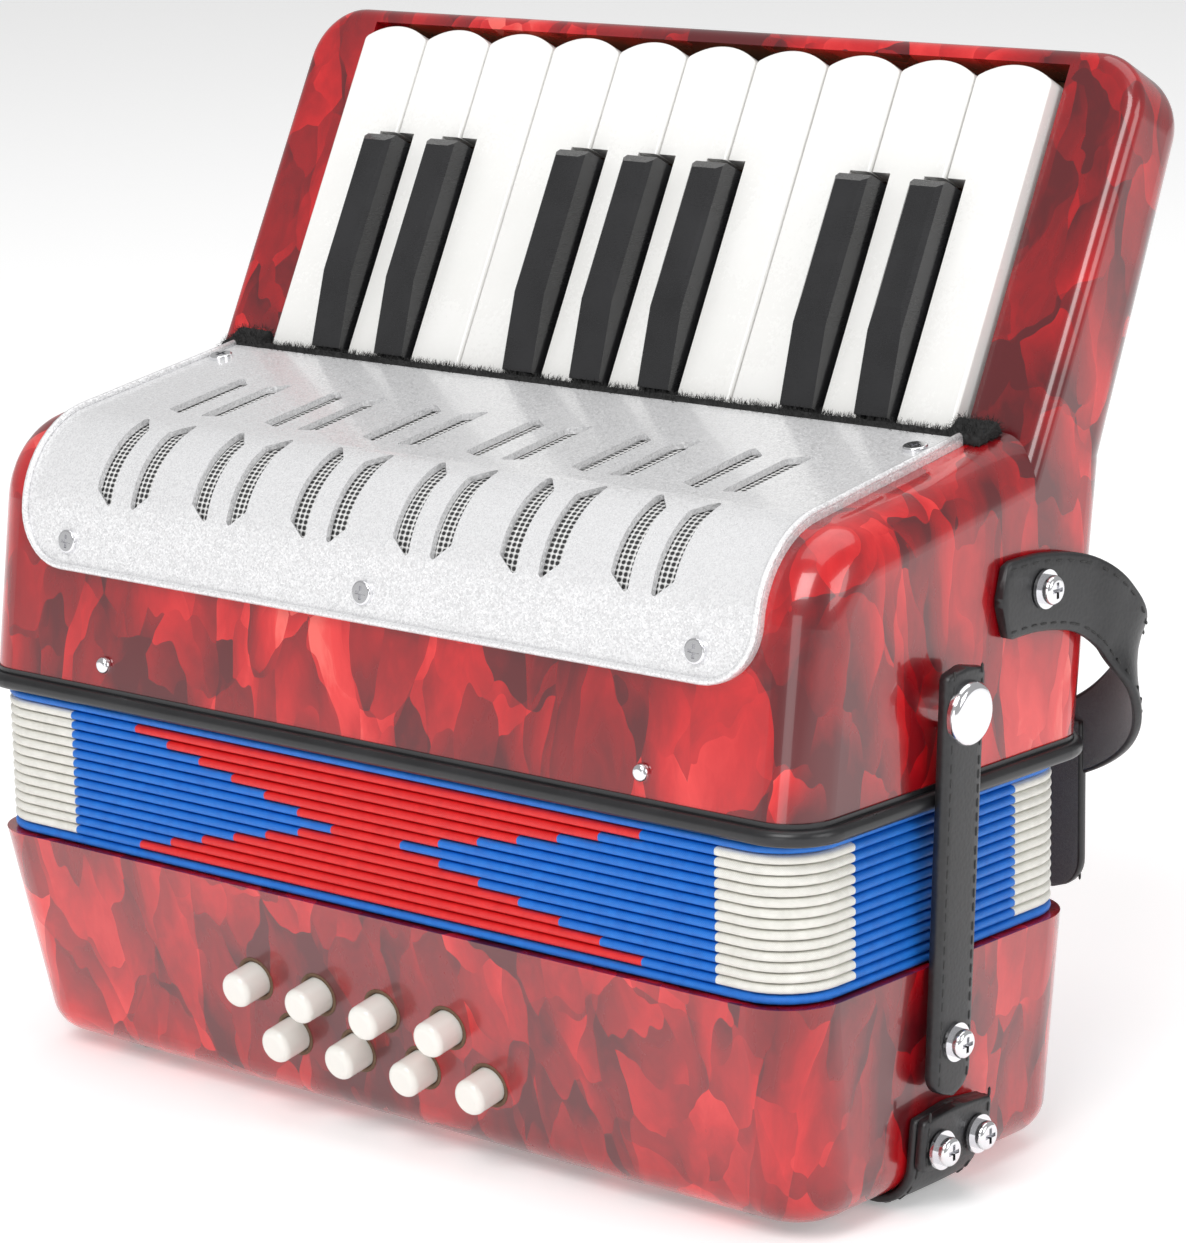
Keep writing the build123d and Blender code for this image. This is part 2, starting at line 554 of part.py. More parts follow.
with BuildPart() as treble_case:
    with BuildSketch(Plane.YZ):
        add(housing_outline.sketch_local)
    extrude(amount=HALF, both=True)
    side_edges = treble_case.edges().filter_by(lambda edge: abs(abs(edge.center().X) - HALF) < 0.01)
    front_edges = side_edges.filter_by(lambda edge: edge.center().Y < top_rear[0] - 4
                                       and edge.center().Z > TREBLE_MOUTH + 1)
    fillet(front_edges, radius=HOUSING_ROUND)
    side_edges = treble_case.edges().filter_by(lambda edge: abs(abs(edge.center().X) - HALF) < 0.01)
    back_edges = side_edges.filter_by(lambda edge: edge.center().Y > TREBLE_BACK
                                      and edge.center().Z < kink[1] - 4)
    fillet(back_edges, radius=BACK_ROUND)
    add(keyboard_slab.part)
    with BuildSketch(Plane.YZ) as hollow_outline:
        add(housing_outline.sketch_local)
        offset(amount=-WALL, mode=Mode.REPLACE)
        with BuildLine():
            Polyline((TREBLE_FRONT + WALL, TREBLE_MOUTH),
                     (TREBLE_FRONT + WALL + 2 * WALL * tan(radians(FRONT_LEAN)), TREBLE_MOUTH + 2 * WALL),
                     (TREBLE_BACK - WALL, TREBLE_MOUTH + 2 * WALL), (TREBLE_BACK - WALL, TREBLE_MOUTH), close=True)
        make_face()
    extrude(amount=HALF - WALL, both=True, mode=Mode.SUBTRACT)
    # sound opening behind the grille
    with BuildSketch(Plane.XZ.offset(-TREBLE_FRONT + 20)):
        with Locations((0, TREBLE_MOUTH + OPENING_RISE)):
            Rectangle(2 * OPENING_HALF_WIDTH, 60, align=(Align.CENTER, Align.MIN))
    extrude(amount=-(GRILLE_REAR - TREBLE_FRONT + TREBLE_Y + 19), mode=Mode.SUBTRACT)
    # key well, down to the bed and back to the board
    with BuildSketch(Plane.YZ):
        with BuildLine():
            Polyline(board_point(-KEY_UNDER_FELT - 1, -30), board_point(KEY_LENGTH + KEY_END_GAP, -30),
                     board_point(KEY_LENGTH + KEY_END_GAP, BED_DEPTH + BED_THICKNESS),
                     board_point(-KEY_UNDER_FELT - 1, BED_DEPTH + BED_THICKNESS), close=True)
        make_face()
    extrude(amount=WELL_HALF_WIDTH, both=True, mode=Mode.SUBTRACT)
    with BuildSketch(Plane.YZ):
        with Locations((axle_y, axle_z)):
            Circle(AXLE_RADIUS)
    extrude(amount=HALF - WALL + AXLE_SEAT, both=True, mode=Mode.SUBTRACT)
    with BuildSketch(Plane.YZ):
        with Locations((TREBLE_Y + SHOULDER_SCREW_Y, TREBLE_MOUTH + SHOULDER_SCREW_RISE)):
            Circle(BIG_SCREW_RADIUS)
        with Locations((RIM_CENTRE_Y + STRAP_Y, TREBLE_MOUTH + SNAP_RISE)):
            Circle(BIG_SCREW_RADIUS)
    extrude(amount=HALF, both=True, mode=Mode.SUBTRACT)
    with BuildSketch(Plane.XZ.offset(-TREBLE_FRONT + 5)):
        with Locations((0, TREBLE_MOUTH + PIN_RISE)):
            with GridLocations(PIN_SPACING, 0, 2, 1):
                Circle(PIN_RADIUS / 2)
    extrude(amount=-TREBLE_DEPTH - 10, mode=Mode.SUBTRACT)
    for place in grille_screw_planes:
        with BuildSketch(place):
            Circle(SCREW_RADIUS)
        extrude(amount=SCREW_HEAD_HEIGHT + GRILLE_THICKNESS + SCREW_LENGTH, mode=Mode.SUBTRACT)
treble_case.part.label = "treble_case"
export_step(treble_case.part, "parts/treble_case.step")

with BuildPart() as keyboard_bed:
    with BuildSketch(key_plane(0, BED_DEPTH + BED_THICKNESS)):
        with Locations((0, BLACK_FELT_HEIGHT)):
            Rectangle(2 * WELL_HALF_WIDTH - 0.2, KEY_LENGTH + KEY_END_GAP - BLACK_FELT_HEIGHT - 0.1,
                      align=(Align.CENTER, Align.MIN))
    extrude(amount=BED_THICKNESS)
keyboard_bed.part.label = "keyboard_bed"
export_step(keyboard_bed.part, "parts/keyboard_bed.step")

with BuildPart() as key_axle:
    with BuildSketch(Plane.YZ):
        with Locations((axle_y, axle_z)):
            Circle(AXLE_RADIUS)
    extrude(amount=HALF - WALL + AXLE_SEAT, both=True)
key_axle.part.label = "key_axle"
export_step(key_axle.part, "parts/key_axle.step")

with BuildPart() as key_springs:
    with BuildSketch(key_plane(0, BED_DEPTH)):
        with Locations((0, SPRING_ALONG)):
            Rectangle(KEYBOARD_WIDTH - KEY_PITCH / 2, SPRING_FOOT, align=(Align.CENTER, Align.MIN))
    extrude(amount=SPRING_THICKNESS)
    for x in white_x + black_x:
        with BuildSketch(Plane.YZ.offset(x)):
            with BuildLine():
                Polyline(board_point(SPRING_ALONG + 1, BED_DEPTH), board_point(SPRING_TIP, SPRING_TIP_DEPTH),
                         board_point(SPRING_TIP, SPRING_TIP_DEPTH - SPRING_THICKNESS),
                         board_point(SPRING_ALONG + 1, BED_DEPTH - SPRING_THICKNESS), close=True)
            make_face()
        extrude(amount=SPRING_WIDTH / 2, both=True)
key_springs.part.label = "key_springs"
export_step(key_springs.part, "parts/key_springs.step")

# ---------------------------------------------------------------- treble action
board_under = TREBLE_MOUTH + SOUNDBOARD_RISE - SOUNDBOARD_THICKNESS
pallet_y = TREBLE_Y + PALLET_CENTRE
with BuildPart() as treble_soundboard:
    with BuildSketch(Plane.XY.offset(board_under)):
        with Locations((0, TREBLE_Y + 2)):
            Rectangle(BODY_WIDTH - 2 * WALL, TREBLE_DEPTH - 2 * WALL - 2)
    extrude(amount=SOUNDBOARD_THICKNESS)
    for x in white_x + black_x:
        with BuildSketch(Plane.XY.offset(board_under)):
            with Locations((x, pallet_y)):
                Rectangle(PORT_WIDTH, PORT_LENGTH)
        extrude(amount=SOUNDBOARD_THICKNESS, mode=Mode.SUBTRACT)
treble_soundboard.part.label = "treble_soundboard"
export_step(treble_soundboard.part, "parts/treble_soundboard.step")

with BuildPart() as treble_reed_block:
    with BuildSketch(Plane.XY.offset(board_under - REED_BLOCK_HEIGHT)):
        with Locations((0, pallet_y)):
            Rectangle(KEYBOARD_WIDTH, REED_BLOCK_DEPTH)
        for x in white_x + black_x:
            with Locations((x, pallet_y)):
                Rectangle(PORT_WIDTH, PORT_LENGTH, mode=Mode.SUBTRACT)
    extrude(amount=REED_BLOCK_HEIGHT)
treble_reed_block.part.label = "treble_reed_block"
export_step(treble_reed_block.part, "parts/treble_reed_block.step")

with BuildPart() as treble_reed_plates:
    with BuildSketch(Plane.XY.offset(board_under - REED_BLOCK_HEIGHT - REED_PLATE_THICKNESS)):
        for x in white_x + black_x:
            with Locations((x, pallet_y)):
                Rectangle(PORT_WIDTH + REED_CHAMBER_WALL, PORT_LENGTH + REED_CHAMBER_WALL)
                Rectangle(PORT_WIDTH / 2, PORT_LENGTH - REED_CHAMBER_WALL, mode=Mode.SUBTRACT)
    extrude(amount=REED_PLATE_THICKNESS)
treble_reed_plates.part.label = "treble_reed_plates"
export_step(treble_reed_plates.part, "parts/treble_reed_plates.step")

pallet_top = TREBLE_MOUTH + SOUNDBOARD_RISE + PALLET_GAP + PALLET_THICKNESS
arm_lean = atan2(pallet_y - axle_y, pallet_top - axle_z)
arm_side = (LEVER_HEIGHT / 2 * cos(arm_lean), -LEVER_HEIGHT / 2 * sin(arm_lean))


def key_lever(x, length):
    """Lever under a key: a bar under its top, a boss on the axle, an arm and the pallet at its end."""
    with BuildPart() as lever:
        with BuildSketch(Plane.YZ.offset(x)):
            with BuildLine():
                Polyline(board_point(AXLE_ALONG - BOSS_RADIUS, KEY_THICKNESS),
                         board_point(length, KEY_THICKNESS),
                         board_point(length, KEY_THICKNESS + LEVER_HEIGHT),
                         board_point(AXLE_ALONG - BOSS_RADIUS, KEY_THICKNESS + LEVER_HEIGHT), close=True)
            make_face()
            with Locations((axle_y, axle_z)):
                Circle(BOSS_RADIUS)
            with BuildLine():
                Polyline((axle_y + arm_side[0], axle_z + arm_side[1]), (axle_y - arm_side[0], axle_z - arm_side[1]),
                         (pallet_y - arm_side[0], pallet_top - arm_side[1] - LEVER_HEIGHT / 2),
                         (pallet_y + arm_side[0], pallet_top + arm_side[1] - LEVER_HEIGHT / 2), close=True)
            make_face()
            with Locations((axle_y, axle_z)):
                Circle(AXLE_RADIUS + RUNNING_GAP, mode=Mode.SUBTRACT)
        extrude(amount=LEVER_WIDTH / 2, both=True)
        with BuildSketch(Plane.XY.offset(pallet_top - PALLET_THICKNESS)):
            with Locations((x, pallet_y)):
                Rectangle(PALLET_WIDTH, PALLET_LENGTH)
        extrude(amount=PALLET_THICKNESS)
    return lever


for number, x in enumerate(white_x, start=1):
    half_key = (KEY_PITCH - KEY_GAP) / 2
    with BuildPart() as white_key:
        with BuildSketch(key_plane(x, KEY_THICKNESS)):
            with BuildLine():
                Polyline((half_key, KEY_LENGTH - KEY_END_RISE), (half_key, -KEY_UNDER_FELT),
                         (-half_key, -KEY_UNDER_FELT), (-half_key, KEY_LENGTH - KEY_END_RISE))
                ThreePointArc((-half_key, KEY_LENGTH - KEY_END_RISE), (0, KEY_LENGTH),
                              (half_key, KEY_LENGTH - KEY_END_RISE))
            make_face()
        extrude(amount=KEY_THICKNESS)
        fillet(white_key.edges().filter_by(Axis((0, 0, 0), (0, -cos(LEAN), sin(LEAN)))).group_by(Axis.Z)[-1],
               radius=KEY_CORNER)
        top_edges = white_key.faces().sort_by(Axis((0, 0, 0), (0, -cos(LEAN), sin(LEAN))))[-1].edges()
        fillet(top_edges.sort_by(Axis.Z)[1:], radius=KEY_EDGE_ROUND)
        with BuildSketch(key_plane(x, KEY_THICKNESS + 1)):
            for after in (number - 1, number):
                if after in BLACK_AFTER:
                    with Locations(((after - number + 0.5) * KEY_PITCH, -KEY_UNDER_FELT - 1)):
                        Rectangle(NOTCH_WIDTH, KEY_UNDER_FELT + 1 + BLACK_LENGTH + NOTCH_GAP,
                                  align=(Align.CENTER, Align.MIN))
        extrude(amount=KEY_THICKNESS + 2, mode=Mode.SUBTRACT)
        add(key_lever(x, LEVER_LENGTH).part)
    white_key.part.label = f"white_key_{number}"
    export_step(white_key.part, f"parts/white_key_{number}.step")

for number, x in enumerate(black_x, start=1):
    with BuildPart() as black_key:
        with BuildSketch(Plane.YZ.offset(x)):
            with BuildLine():
                Polyline(board_point(-KEY_UNDER_FELT, KEY_THICKNESS), board_point(BLACK_LENGTH, KEY_THICKNESS),
                         board_point(BLACK_LENGTH, -BLACK_HEIGHT + 2 * BLACK_CHAMFER),
                         board_point(BLACK_LENGTH - 2 * BLACK_CHAMFER, -BLACK_HEIGHT),
                         board_point(BLACK_KINK, -BLACK_HEIGHT), board_point(0, -BLACK_FELT_HEIGHT),
                         board_point(0, FELT_GAP), board_point(-KEY_UNDER_FELT, FELT_GAP), close=True)
            make_face()
        extrude(amount=BLACK_WIDTH / 2, both=True)
        long_edges = black_key.edges().filter_by(Axis((0, 0, 0), (0, sin(LEAN), cos(LEAN))))
        chamfer(long_edges.sort_by(Axis((0, 0, 0), (0, -cos(LEAN), sin(LEAN))))[-2:], length=BLACK_CHAMFER)
        add(key_lever(x, BLACK_LEVER_LENGTH).part)
    black_key.part.label = f"black_key_{number}"
    export_step(black_key.part, f"parts/black_key_{number}.step")

# ---------------------------------------------------------------- grille, mesh, screws and felt
low_end = TREBLE_MOUTH + GRILLE_LOW_RISE
rear_end = TREBLE_Y + GRILLE_REAR
bend_tilt = radians(45)
bend_plane = Plane(origin=(0, *crest), x_dir=(1, 0, 0), z_dir=(0, -cos(bend_tilt), sin(bend_tilt)))
pair_x = [(pair - (SLOT_PAIRS - 1) / 2) * SLOT_PITCH for pair in range(SLOT_PAIRS)]


def up_bend(place):
    """How far a plane's origin lies up the bend plane from the crest line."""
    return (place.origin.Y - crest[0]) * sin(bend_tilt) + (place.origin.Z - crest[1]) * cos(bend_tilt)


with BuildPart() as treble_grille:
    with BuildSketch(Plane.YZ):
        add(housing_outline.sketch_local)
        offset(amount=GRILLE_THICKNESS, mode=Mode.REPLACE)
        add(housing_outline.sketch_local, mode=Mode.SUBTRACT)
        with Locations((rear_end, low_end)):
            Rectangle(BASS_DEPTH, 2 * FRONT_HEIGHT, align=(Align.MAX, Align.MIN), mode=Mode.INTERSECT)
    extrude(amount=GRILLE_HALF_WIDTH, both=True)
    with BuildSketch(Plane.XZ) as front_view:
        with Locations((0, low_end)):
            Rectangle(2 * GRILLE_HALF_WIDTH, BODY_WIDTH, align=(Align.CENTER, Align.MIN))
        fillet(front_view.vertices().group_by(Axis.Y)[0], radius=GRILLE_CORNER)
    extrude(amount=BODY_WIDTH, both=True, mode=Mode.INTERSECT)
    (inner_tip, outer_corner), (inner_end, outer_end) = LOWER_SLOT
    with BuildSketch(bend_plane) as lower_slots:
        for middle in pair_x:
            for side in (-1, 1):
                inner_x = middle + side * SLOT_INNER
                outer_x = middle + side * SLOT_OUTER
                with BuildLine():
                    Polyline((inner_x, up_bend(grille_front(0, inner_tip, 0))),
                             (outer_x, up_bend(grille_front(0, outer_corner, 0))),
                             (outer_x, up_bend(grille_top(0, outer_end, 0))),
                             (inner_x, up_bend(grille_top(0, inner_end, 0))), close=True)
                make_face()
        fillet(lower_slots.vertices(), radius=0.8)
    extrude(amount=FRONT_HEIGHT / 2, both=True, mode=Mode.SUBTRACT)
    (inner_start, outer_start), (inner_end, outer_end) = UPPER_SLOT
    top_plane = grille_top(0, 0, 1)
    stretch = 1 / cos(radians(TOP_SLOPE))
    with BuildSketch(Plane(origin=top_plane.origin, x_dir=(1, 0, 0), z_dir=-top_plane.z_dir)) as upper_slots:
        for middle in pair_x:
            for side in (-1, 1):
                inner_x = middle + side * SLOT_INNER
                outer_x = middle + side * SLOT_OUTER
                with BuildLine():
                    Polyline((inner_x, inner_start * stretch), (outer_x, outer_start * stretch),
                             (outer_x, outer_end * stretch), (inner_x, inner_end * stretch), close=True)
                make_face()
        fillet(upper_slots.vertices(), radius=0.8)
    extrude(amount=-GRILLE_THICKNESS - 2, mode=Mode.SUBTRACT)
    for place in grille_screw_planes:
        with BuildSketch(place):
            Circle(SCREW_RADIUS)
        extrude(amount=SCREW_HEAD_HEIGHT + 2 * GRILLE_THICKNESS, mode=Mode.SUBTRACT)
treble_grille.part.label = "treble_grille"
export_step(treble_grille.part, "parts/treble_grille.step")

with BuildPart() as grille_mesh:
    with BuildSketch(Plane.YZ):
        add(housing_outline.sketch_local)
        offset(amount=-MESH_GAP, mode=Mode.REPLACE)
        with BuildSketch(mode=Mode.PRIVATE) as mesh_inside:
            add(housing_outline.sketch_local)
            offset(amount=-MESH_GAP - MESH_THICKNESS, mode=Mode.REPLACE)
        add(mesh_inside.sketch_local, mode=Mode.SUBTRACT)
        with Locations((TREBLE_Y + UPPER_SLOT[1][1] + MESH_MARGIN, TREBLE_MOUTH + OPENING_RISE + MESH_MARGIN)):
            Rectangle(BASS_DEPTH, 2 * FRONT_HEIGHT, align=(Align.MAX, Align.MIN), mode=Mode.INTERSECT)
    extrude(amount=OPENING_HALF_WIDTH - MESH_MARGIN, both=True)
grille_mesh.part.label = "grille_mesh"
export_step(grille_mesh.part, "parts/grille_mesh.step")

grille_screws = cross_screw(grille_screw_planes, SCREW_HEAD_RADIUS, SCREW_HEAD_HEIGHT, SCREW_RADIUS,
                            GRILLE_THICKNESS + SCREW_LENGTH)
grille_screws.part.label = "grille_screws"
export_step(grille_screws.part, "parts/grille_screws.step")

felt_front = grille_top(0, GRILLE_REAR + 0.2, 0).origin
cheek_line = board_point(0, CHEEK_DROP)
with BuildPart() as key_felt:
    with BuildSketch(Plane.YZ):
        with BuildLine():
            Polyline((felt_front.Y, felt_front.Z), board_point(-1, -FELT_HEIGHT), board_point(-1, -FELT_GAP),
                     board_point(-KEY_UNDER_FELT, -FELT_GAP), (felt_front.Y, felt_front.Z - FELT_HEIGHT), close=True)
        make_face()
    extrude(amount=FELT_HALF_WIDTH, both=True)
    with BuildSketch(Plane.YZ.offset(WELL_HALF_WIDTH)):
        with BuildLine():
            Polyline((felt_front.Y, felt_front.Z), board_point(-1, -FELT_HEIGHT), board_point(3, 0),
                     (cheek_line[0] + 1, cheek_line[1] - 2), (felt_front.Y, felt_front.Z - FELT_HEIGHT), close=True)
        make_face()
    extrude(amount=FELT_HALF_WIDTH - WELL_HALF_WIDTH)
    mirror(about=Plane.YZ)
    add(treble_case.part, mode=Mode.SUBTRACT)
    add(treble_grille.part, mode=Mode.SUBTRACT)
key_felt.part.label = "key_felt"
export_step(key_felt.part, "parts/key_felt.step")

with BuildPart() as bellows_pins:
    for back in (0, 1):
        surface = TREBLE_FRONT + back * TREBLE_DEPTH + PIN_RISE * tan(radians(FRONT_LEAN))
        into = 1 - 2 * back
        with BuildSketch(Plane.XZ.offset(-surface + into * PIN_HEIGHT)):
            with Locations((0, TREBLE_MOUTH + PIN_RISE)):
                with GridLocations(PIN_SPACING, 0, 2, 1):
                    Circle(PIN_RADIUS)
        extrude(amount=-into * PIN_HEIGHT)
        with BuildSketch(Plane.XZ.offset(-surface)):
            with Locations((0, TREBLE_MOUTH + PIN_RISE)):
                with GridLocations(PIN_SPACING, 0, 2, 1):
                    Circle(PIN_RADIUS / 2)
        extrude(amount=-into * PIN_LENGTH)
    fillet(bellows_pins.edges().group_by(Axis.Y)[0] + bellows_pins.edges().group_by(Axis.Y)[-1],
           radius=PIN_HEIGHT * 0.7)
    add(treble_case.part, mode=Mode.SUBTRACT)
bellows_pins.part.label = "bellows_pins"
export_step(bellows_pins.part, "parts/bellows_pins.step")

# ================================================================ straps
for side, name in ((1, "right"), (-1, "left")):
    with BuildPart() as bellows_strap:
        strap_middle = (strap_low + strap_high) / 2
        length = (strap_high - strap_low) / cos(radians(STRAP_LEAN))
        with BuildSketch(strap_plane(side, STRAP_THICKNESS, strap_middle)) as strap_shape:
            Rectangle(STRAP_WIDTH, length)
            ends = strap_shape.vertices().group_by(Axis.Y)
            low_end, top_end = (ends[-1], ends[0]) if side > 0 else (ends[0], ends[-1])
            fillet(low_end, radius=STRAP_WIDTH * 0.45)
            fillet(top_end, radius=STRAP_WIDTH * 0.12)
        extrude(amount=STRAP_THICKNESS)
        with BuildSketch(strap_plane(side, STRAP_THICKNESS, pivot_z)):
            Circle(BIG_SCREW_RADIUS + RUNNING_GAP)
        extrude(amount=STRAP_THICKNESS, mode=Mode.SUBTRACT)
    bellows_strap.part.label = f"bellows_strap_{name}"
    export_step(bellows_strap.part, f"parts/bellows_strap_{name}.step")
    with BuildPart() as snap_cap:
        with BuildSketch(strap_plane(side, STRAP_THICKNESS + SNAP_HEIGHT, snap_z)):
            Circle(SNAP_RADIUS)
        extrude(amount=SNAP_HEIGHT)
        fillet(snap_cap.edges().filter_by(GeomType.CIRCLE).sort_by(Axis((0, 0, 0), (side, 0, 0)))[-1],
               radius=SNAP_HEIGHT * 0.7)
    snap_cap.part.label = f"snap_cap_{name}"
    export_step(snap_cap.part, f"parts/snap_cap_{name}.step")

with BuildPart() as snap_studs:
    for side in (-1, 1):
        with BuildSketch(side_plane(side, strap_inside - STUD_GAP, strap_y, snap_z)):
            Circle(STUD_RADIUS)
        extrude(amount=strap_inside - STUD_GAP - HALF)
        with BuildSketch(side_plane(side, HALF, strap_y, snap_z)):
            Circle(BIG_SCREW_RADIUS)
        extrude(amount=WALL)
snap_studs.part.label = "snap_studs"
export_step(snap_studs.part, "parts/snap_studs.step")

washer_proud = STRAP_THICKNESS + WASHER_GAP + WASHER_THICKNESS
pivot_depth = strap_inside - bass_side(STRAP_PIVOT_RISE)
strap_screws = cross_screw([strap_plane(side, washer_proud + BIG_HEAD_HEIGHT, pivot_z) for side in (-1, 1)],
                           BIG_HEAD_RADIUS, BIG_HEAD_HEIGHT, BIG_SCREW_RADIUS, washer_proud + pivot_depth + WALL)
strap_screws.part.label = "strap_screws"
export_step(strap_screws.part, "parts/strap_screws.step")

hand_y = RIM_CENTRE_Y + HAND_STRAP_Y
hand_z = BASS_BOTTOM + HAND_SCREW_RISE
tab_thickness = HAND_STRAP_GAP + HAND_STRAP_THICKNESS + HAND_TAB_EXTRA
tab_reach = bass_side(HAND_SCREW_RISE + WASHER_RADIUS) + tab_thickness + WASHER_GAP + WASHER_THICKNESS
hand_places = [(side, hand_y + shift) for side in (-1, 1) for shift in (-HAND_SCREW_SPACING / 2, HAND_SCREW_SPACING / 2)]


def bass_section(grow):
    """Cross-section of the bass box from the front, grown outwards."""
    with BuildSketch() as section:
        with BuildLine():
            low = HALF - BASS_END_INSET_X
            Polyline((-low, BASS_BOTTOM), (low, BASS_BOTTOM), (HALF, BASS_RIM), (-HALF, BASS_RIM), close=True)
        make_face()
        fillet(section.vertices().group_by(Axis.Y)[0], radius=BASS_BOTTOM_ROUND)
        offset(amount=grow, mode=Mode.REPLACE)
    return section.sketch_local


with BuildPart() as bass_hand_strap:
    with BuildSketch(Plane.XZ.offset(-hand_y - HAND_STRAP_WIDTH / 2)):
        add(bass_section(HAND_STRAP_GAP + HAND_STRAP_THICKNESS))
        add(bass_section(HAND_STRAP_GAP), mode=Mode.SUBTRACT)
        Rectangle(2 * BODY_WIDTH, 2 * (BASS_BOTTOM + HAND_TAB_HEIGHT), mode=Mode.INTERSECT)
    extrude(amount=HAND_STRAP_WIDTH)
    with BuildSketch(Plane.XZ.offset(-hand_y - HAND_STRAP_WIDTH / 2)):
        add(bass_section(tab_thickness))
        add(bass_section(HAND_STRAP_GAP + HAND_STRAP_THICKNESS), mode=Mode.SUBTRACT)
        with Locations((0, BASS_BOTTOM + HAND_SCREW_RISE - WASHER_RADIUS - 1)):
            Rectangle(2 * BODY_WIDTH, HAND_TAB_HEIGHT - HAND_SCREW_RISE + WASHER_RADIUS + 1,
                      align=(Align.CENTER, Align.MIN), mode=Mode.INTERSECT)
    extrude(amount=HAND_STRAP_WIDTH)
    for side, y in hand_places:
        with BuildSketch(side_plane(side, tab_reach, y, hand_z)):
            Circle(BIG_SCREW_RADIUS)
        extrude(amount=tab_thickness + 3, mode=Mode.SUBTRACT)
bass_hand_strap.part.label = "bass_hand_strap"
export_step(bass_hand_strap.part, "parts/bass_hand_strap.step")

hand_strap_screws = cross_screw([side_plane(side, tab_reach + BIG_HEAD_HEIGHT, y, hand_z) for side, y in hand_places],
                                BIG_HEAD_RADIUS, BIG_HEAD_HEIGHT, BIG_SCREW_RADIUS, tab_thickness + WALL)
hand_strap_screws.part.label = "hand_strap_screws"
export_step(hand_strap_screws.part, "parts/hand_strap_screws.step")

shoulder_y = TREBLE_Y + SHOULDER_SCREW_Y
shoulder_z = TREBLE_MOUTH + SHOULDER_SCREW_RISE
shoulder_reach = HALF + SHOULDER_GAP + SHOULDER_THICKNESS
right_half = [Vector(HALF + SHOULDER_GAP + SHOULDER_THICKNESS / 2 + out, TREBLE_Y + back, TREBLE_MOUTH + rise)
              for out, back, rise in SHOULDER_ROUTE]
left_half = [Vector(-place.X, place.Y, place.Z) for place in reversed(right_half)]
route = right_half + left_half
with BuildPart() as shoulder_strap:
    for index, place in enumerate(route):
        heading = (route[min(index + 1, len(route) - 1)] - route[max(index - 1, 0)]).normalized()
        across = (Vector(0, 0, 1) - heading * heading.Z).normalized()
        with BuildSketch(Plane(origin=place, x_dir=across, z_dir=heading)):
            Rectangle(SHOULDER_WIDTH, SHOULDER_THICKNESS)
    loft(ruled=True)
    with BuildSketch(Plane.XZ.offset(-TREBLE_Y - TAIL_Y)) as tail:
        with Locations((TAIL_X, TREBLE_MOUTH - (TAIL_DROP + TAIL_TOP_DROP) / 2)):
            Rectangle(SHOULDER_WIDTH, TAIL_DROP - TAIL_TOP_DROP)
        fillet(tail.vertices().group_by(Axis.Y)[0], radius=SHOULDER_WIDTH * 0.45)
    extrude(amount=SHOULDER_THICKNESS / 2, both=True)
    with BuildSketch(Plane.YZ):
        with Locations((shoulder_y, shoulder_z)):
            Circle(BIG_SCREW_RADIUS)
    extrude(amount=BODY_WIDTH, both=True, mode=Mode.SUBTRACT)
shoulder_strap.part.label = "shoulder_strap"
export_step(shoulder_strap.part, "parts/shoulder_strap.step")

shoulder_screws = cross_screw([side_plane(side, shoulder_reach + WASHER_GAP + WASHER_THICKNESS + BIG_HEAD_HEIGHT,
                                          shoulder_y, shoulder_z) for side in (-1, 1)],
                              BIG_HEAD_RADIUS, BIG_HEAD_HEIGHT, BIG_SCREW_RADIUS,
                              WASHER_THICKNESS + WASHER_GAP + shoulder_reach - HALF + WALL)
shoulder_screws.part.label = "shoulder_screws"
export_step(shoulder_screws.part, "parts/shoulder_screws.step")

washer_places = {
    "strap_washers": [strap_plane(side, washer_proud, pivot_z) for side in (-1, 1)],
    "hand_strap_washers": [side_plane(side, tab_reach, y, hand_z) for side, y in hand_places],
    "shoulder_washers": [side_plane(side, shoulder_reach + WASHER_GAP + WASHER_THICKNESS, shoulder_y, shoulder_z)
                         for side in (-1, 1)],
}
for name, places in washer_places.items():
    with BuildPart() as washers:
        for place in places:
            with BuildSketch(place):
                Circle(WASHER_RADIUS)
                Circle(BIG_SCREW_RADIUS, mode=Mode.SUBTRACT)
            extrude(amount=WASHER_THICKNESS)
    washers.part.label = name
    export_step(washers.part, f"parts/{name}.step")
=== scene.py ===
"""A child's piano accordion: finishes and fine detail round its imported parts.

Every length is in millimetres until a mesh is made; +Z points from the bass end to the treble end,
-Y is the front and +X runs towards the high notes.
"""

import logging
import random
from dataclasses import dataclass
from enum import Enum
from math import asin, cos, pi, radians, sin, tan
from typing import Callable, Iterable, Sequence

import bpy
from mathutils import Matrix, Vector

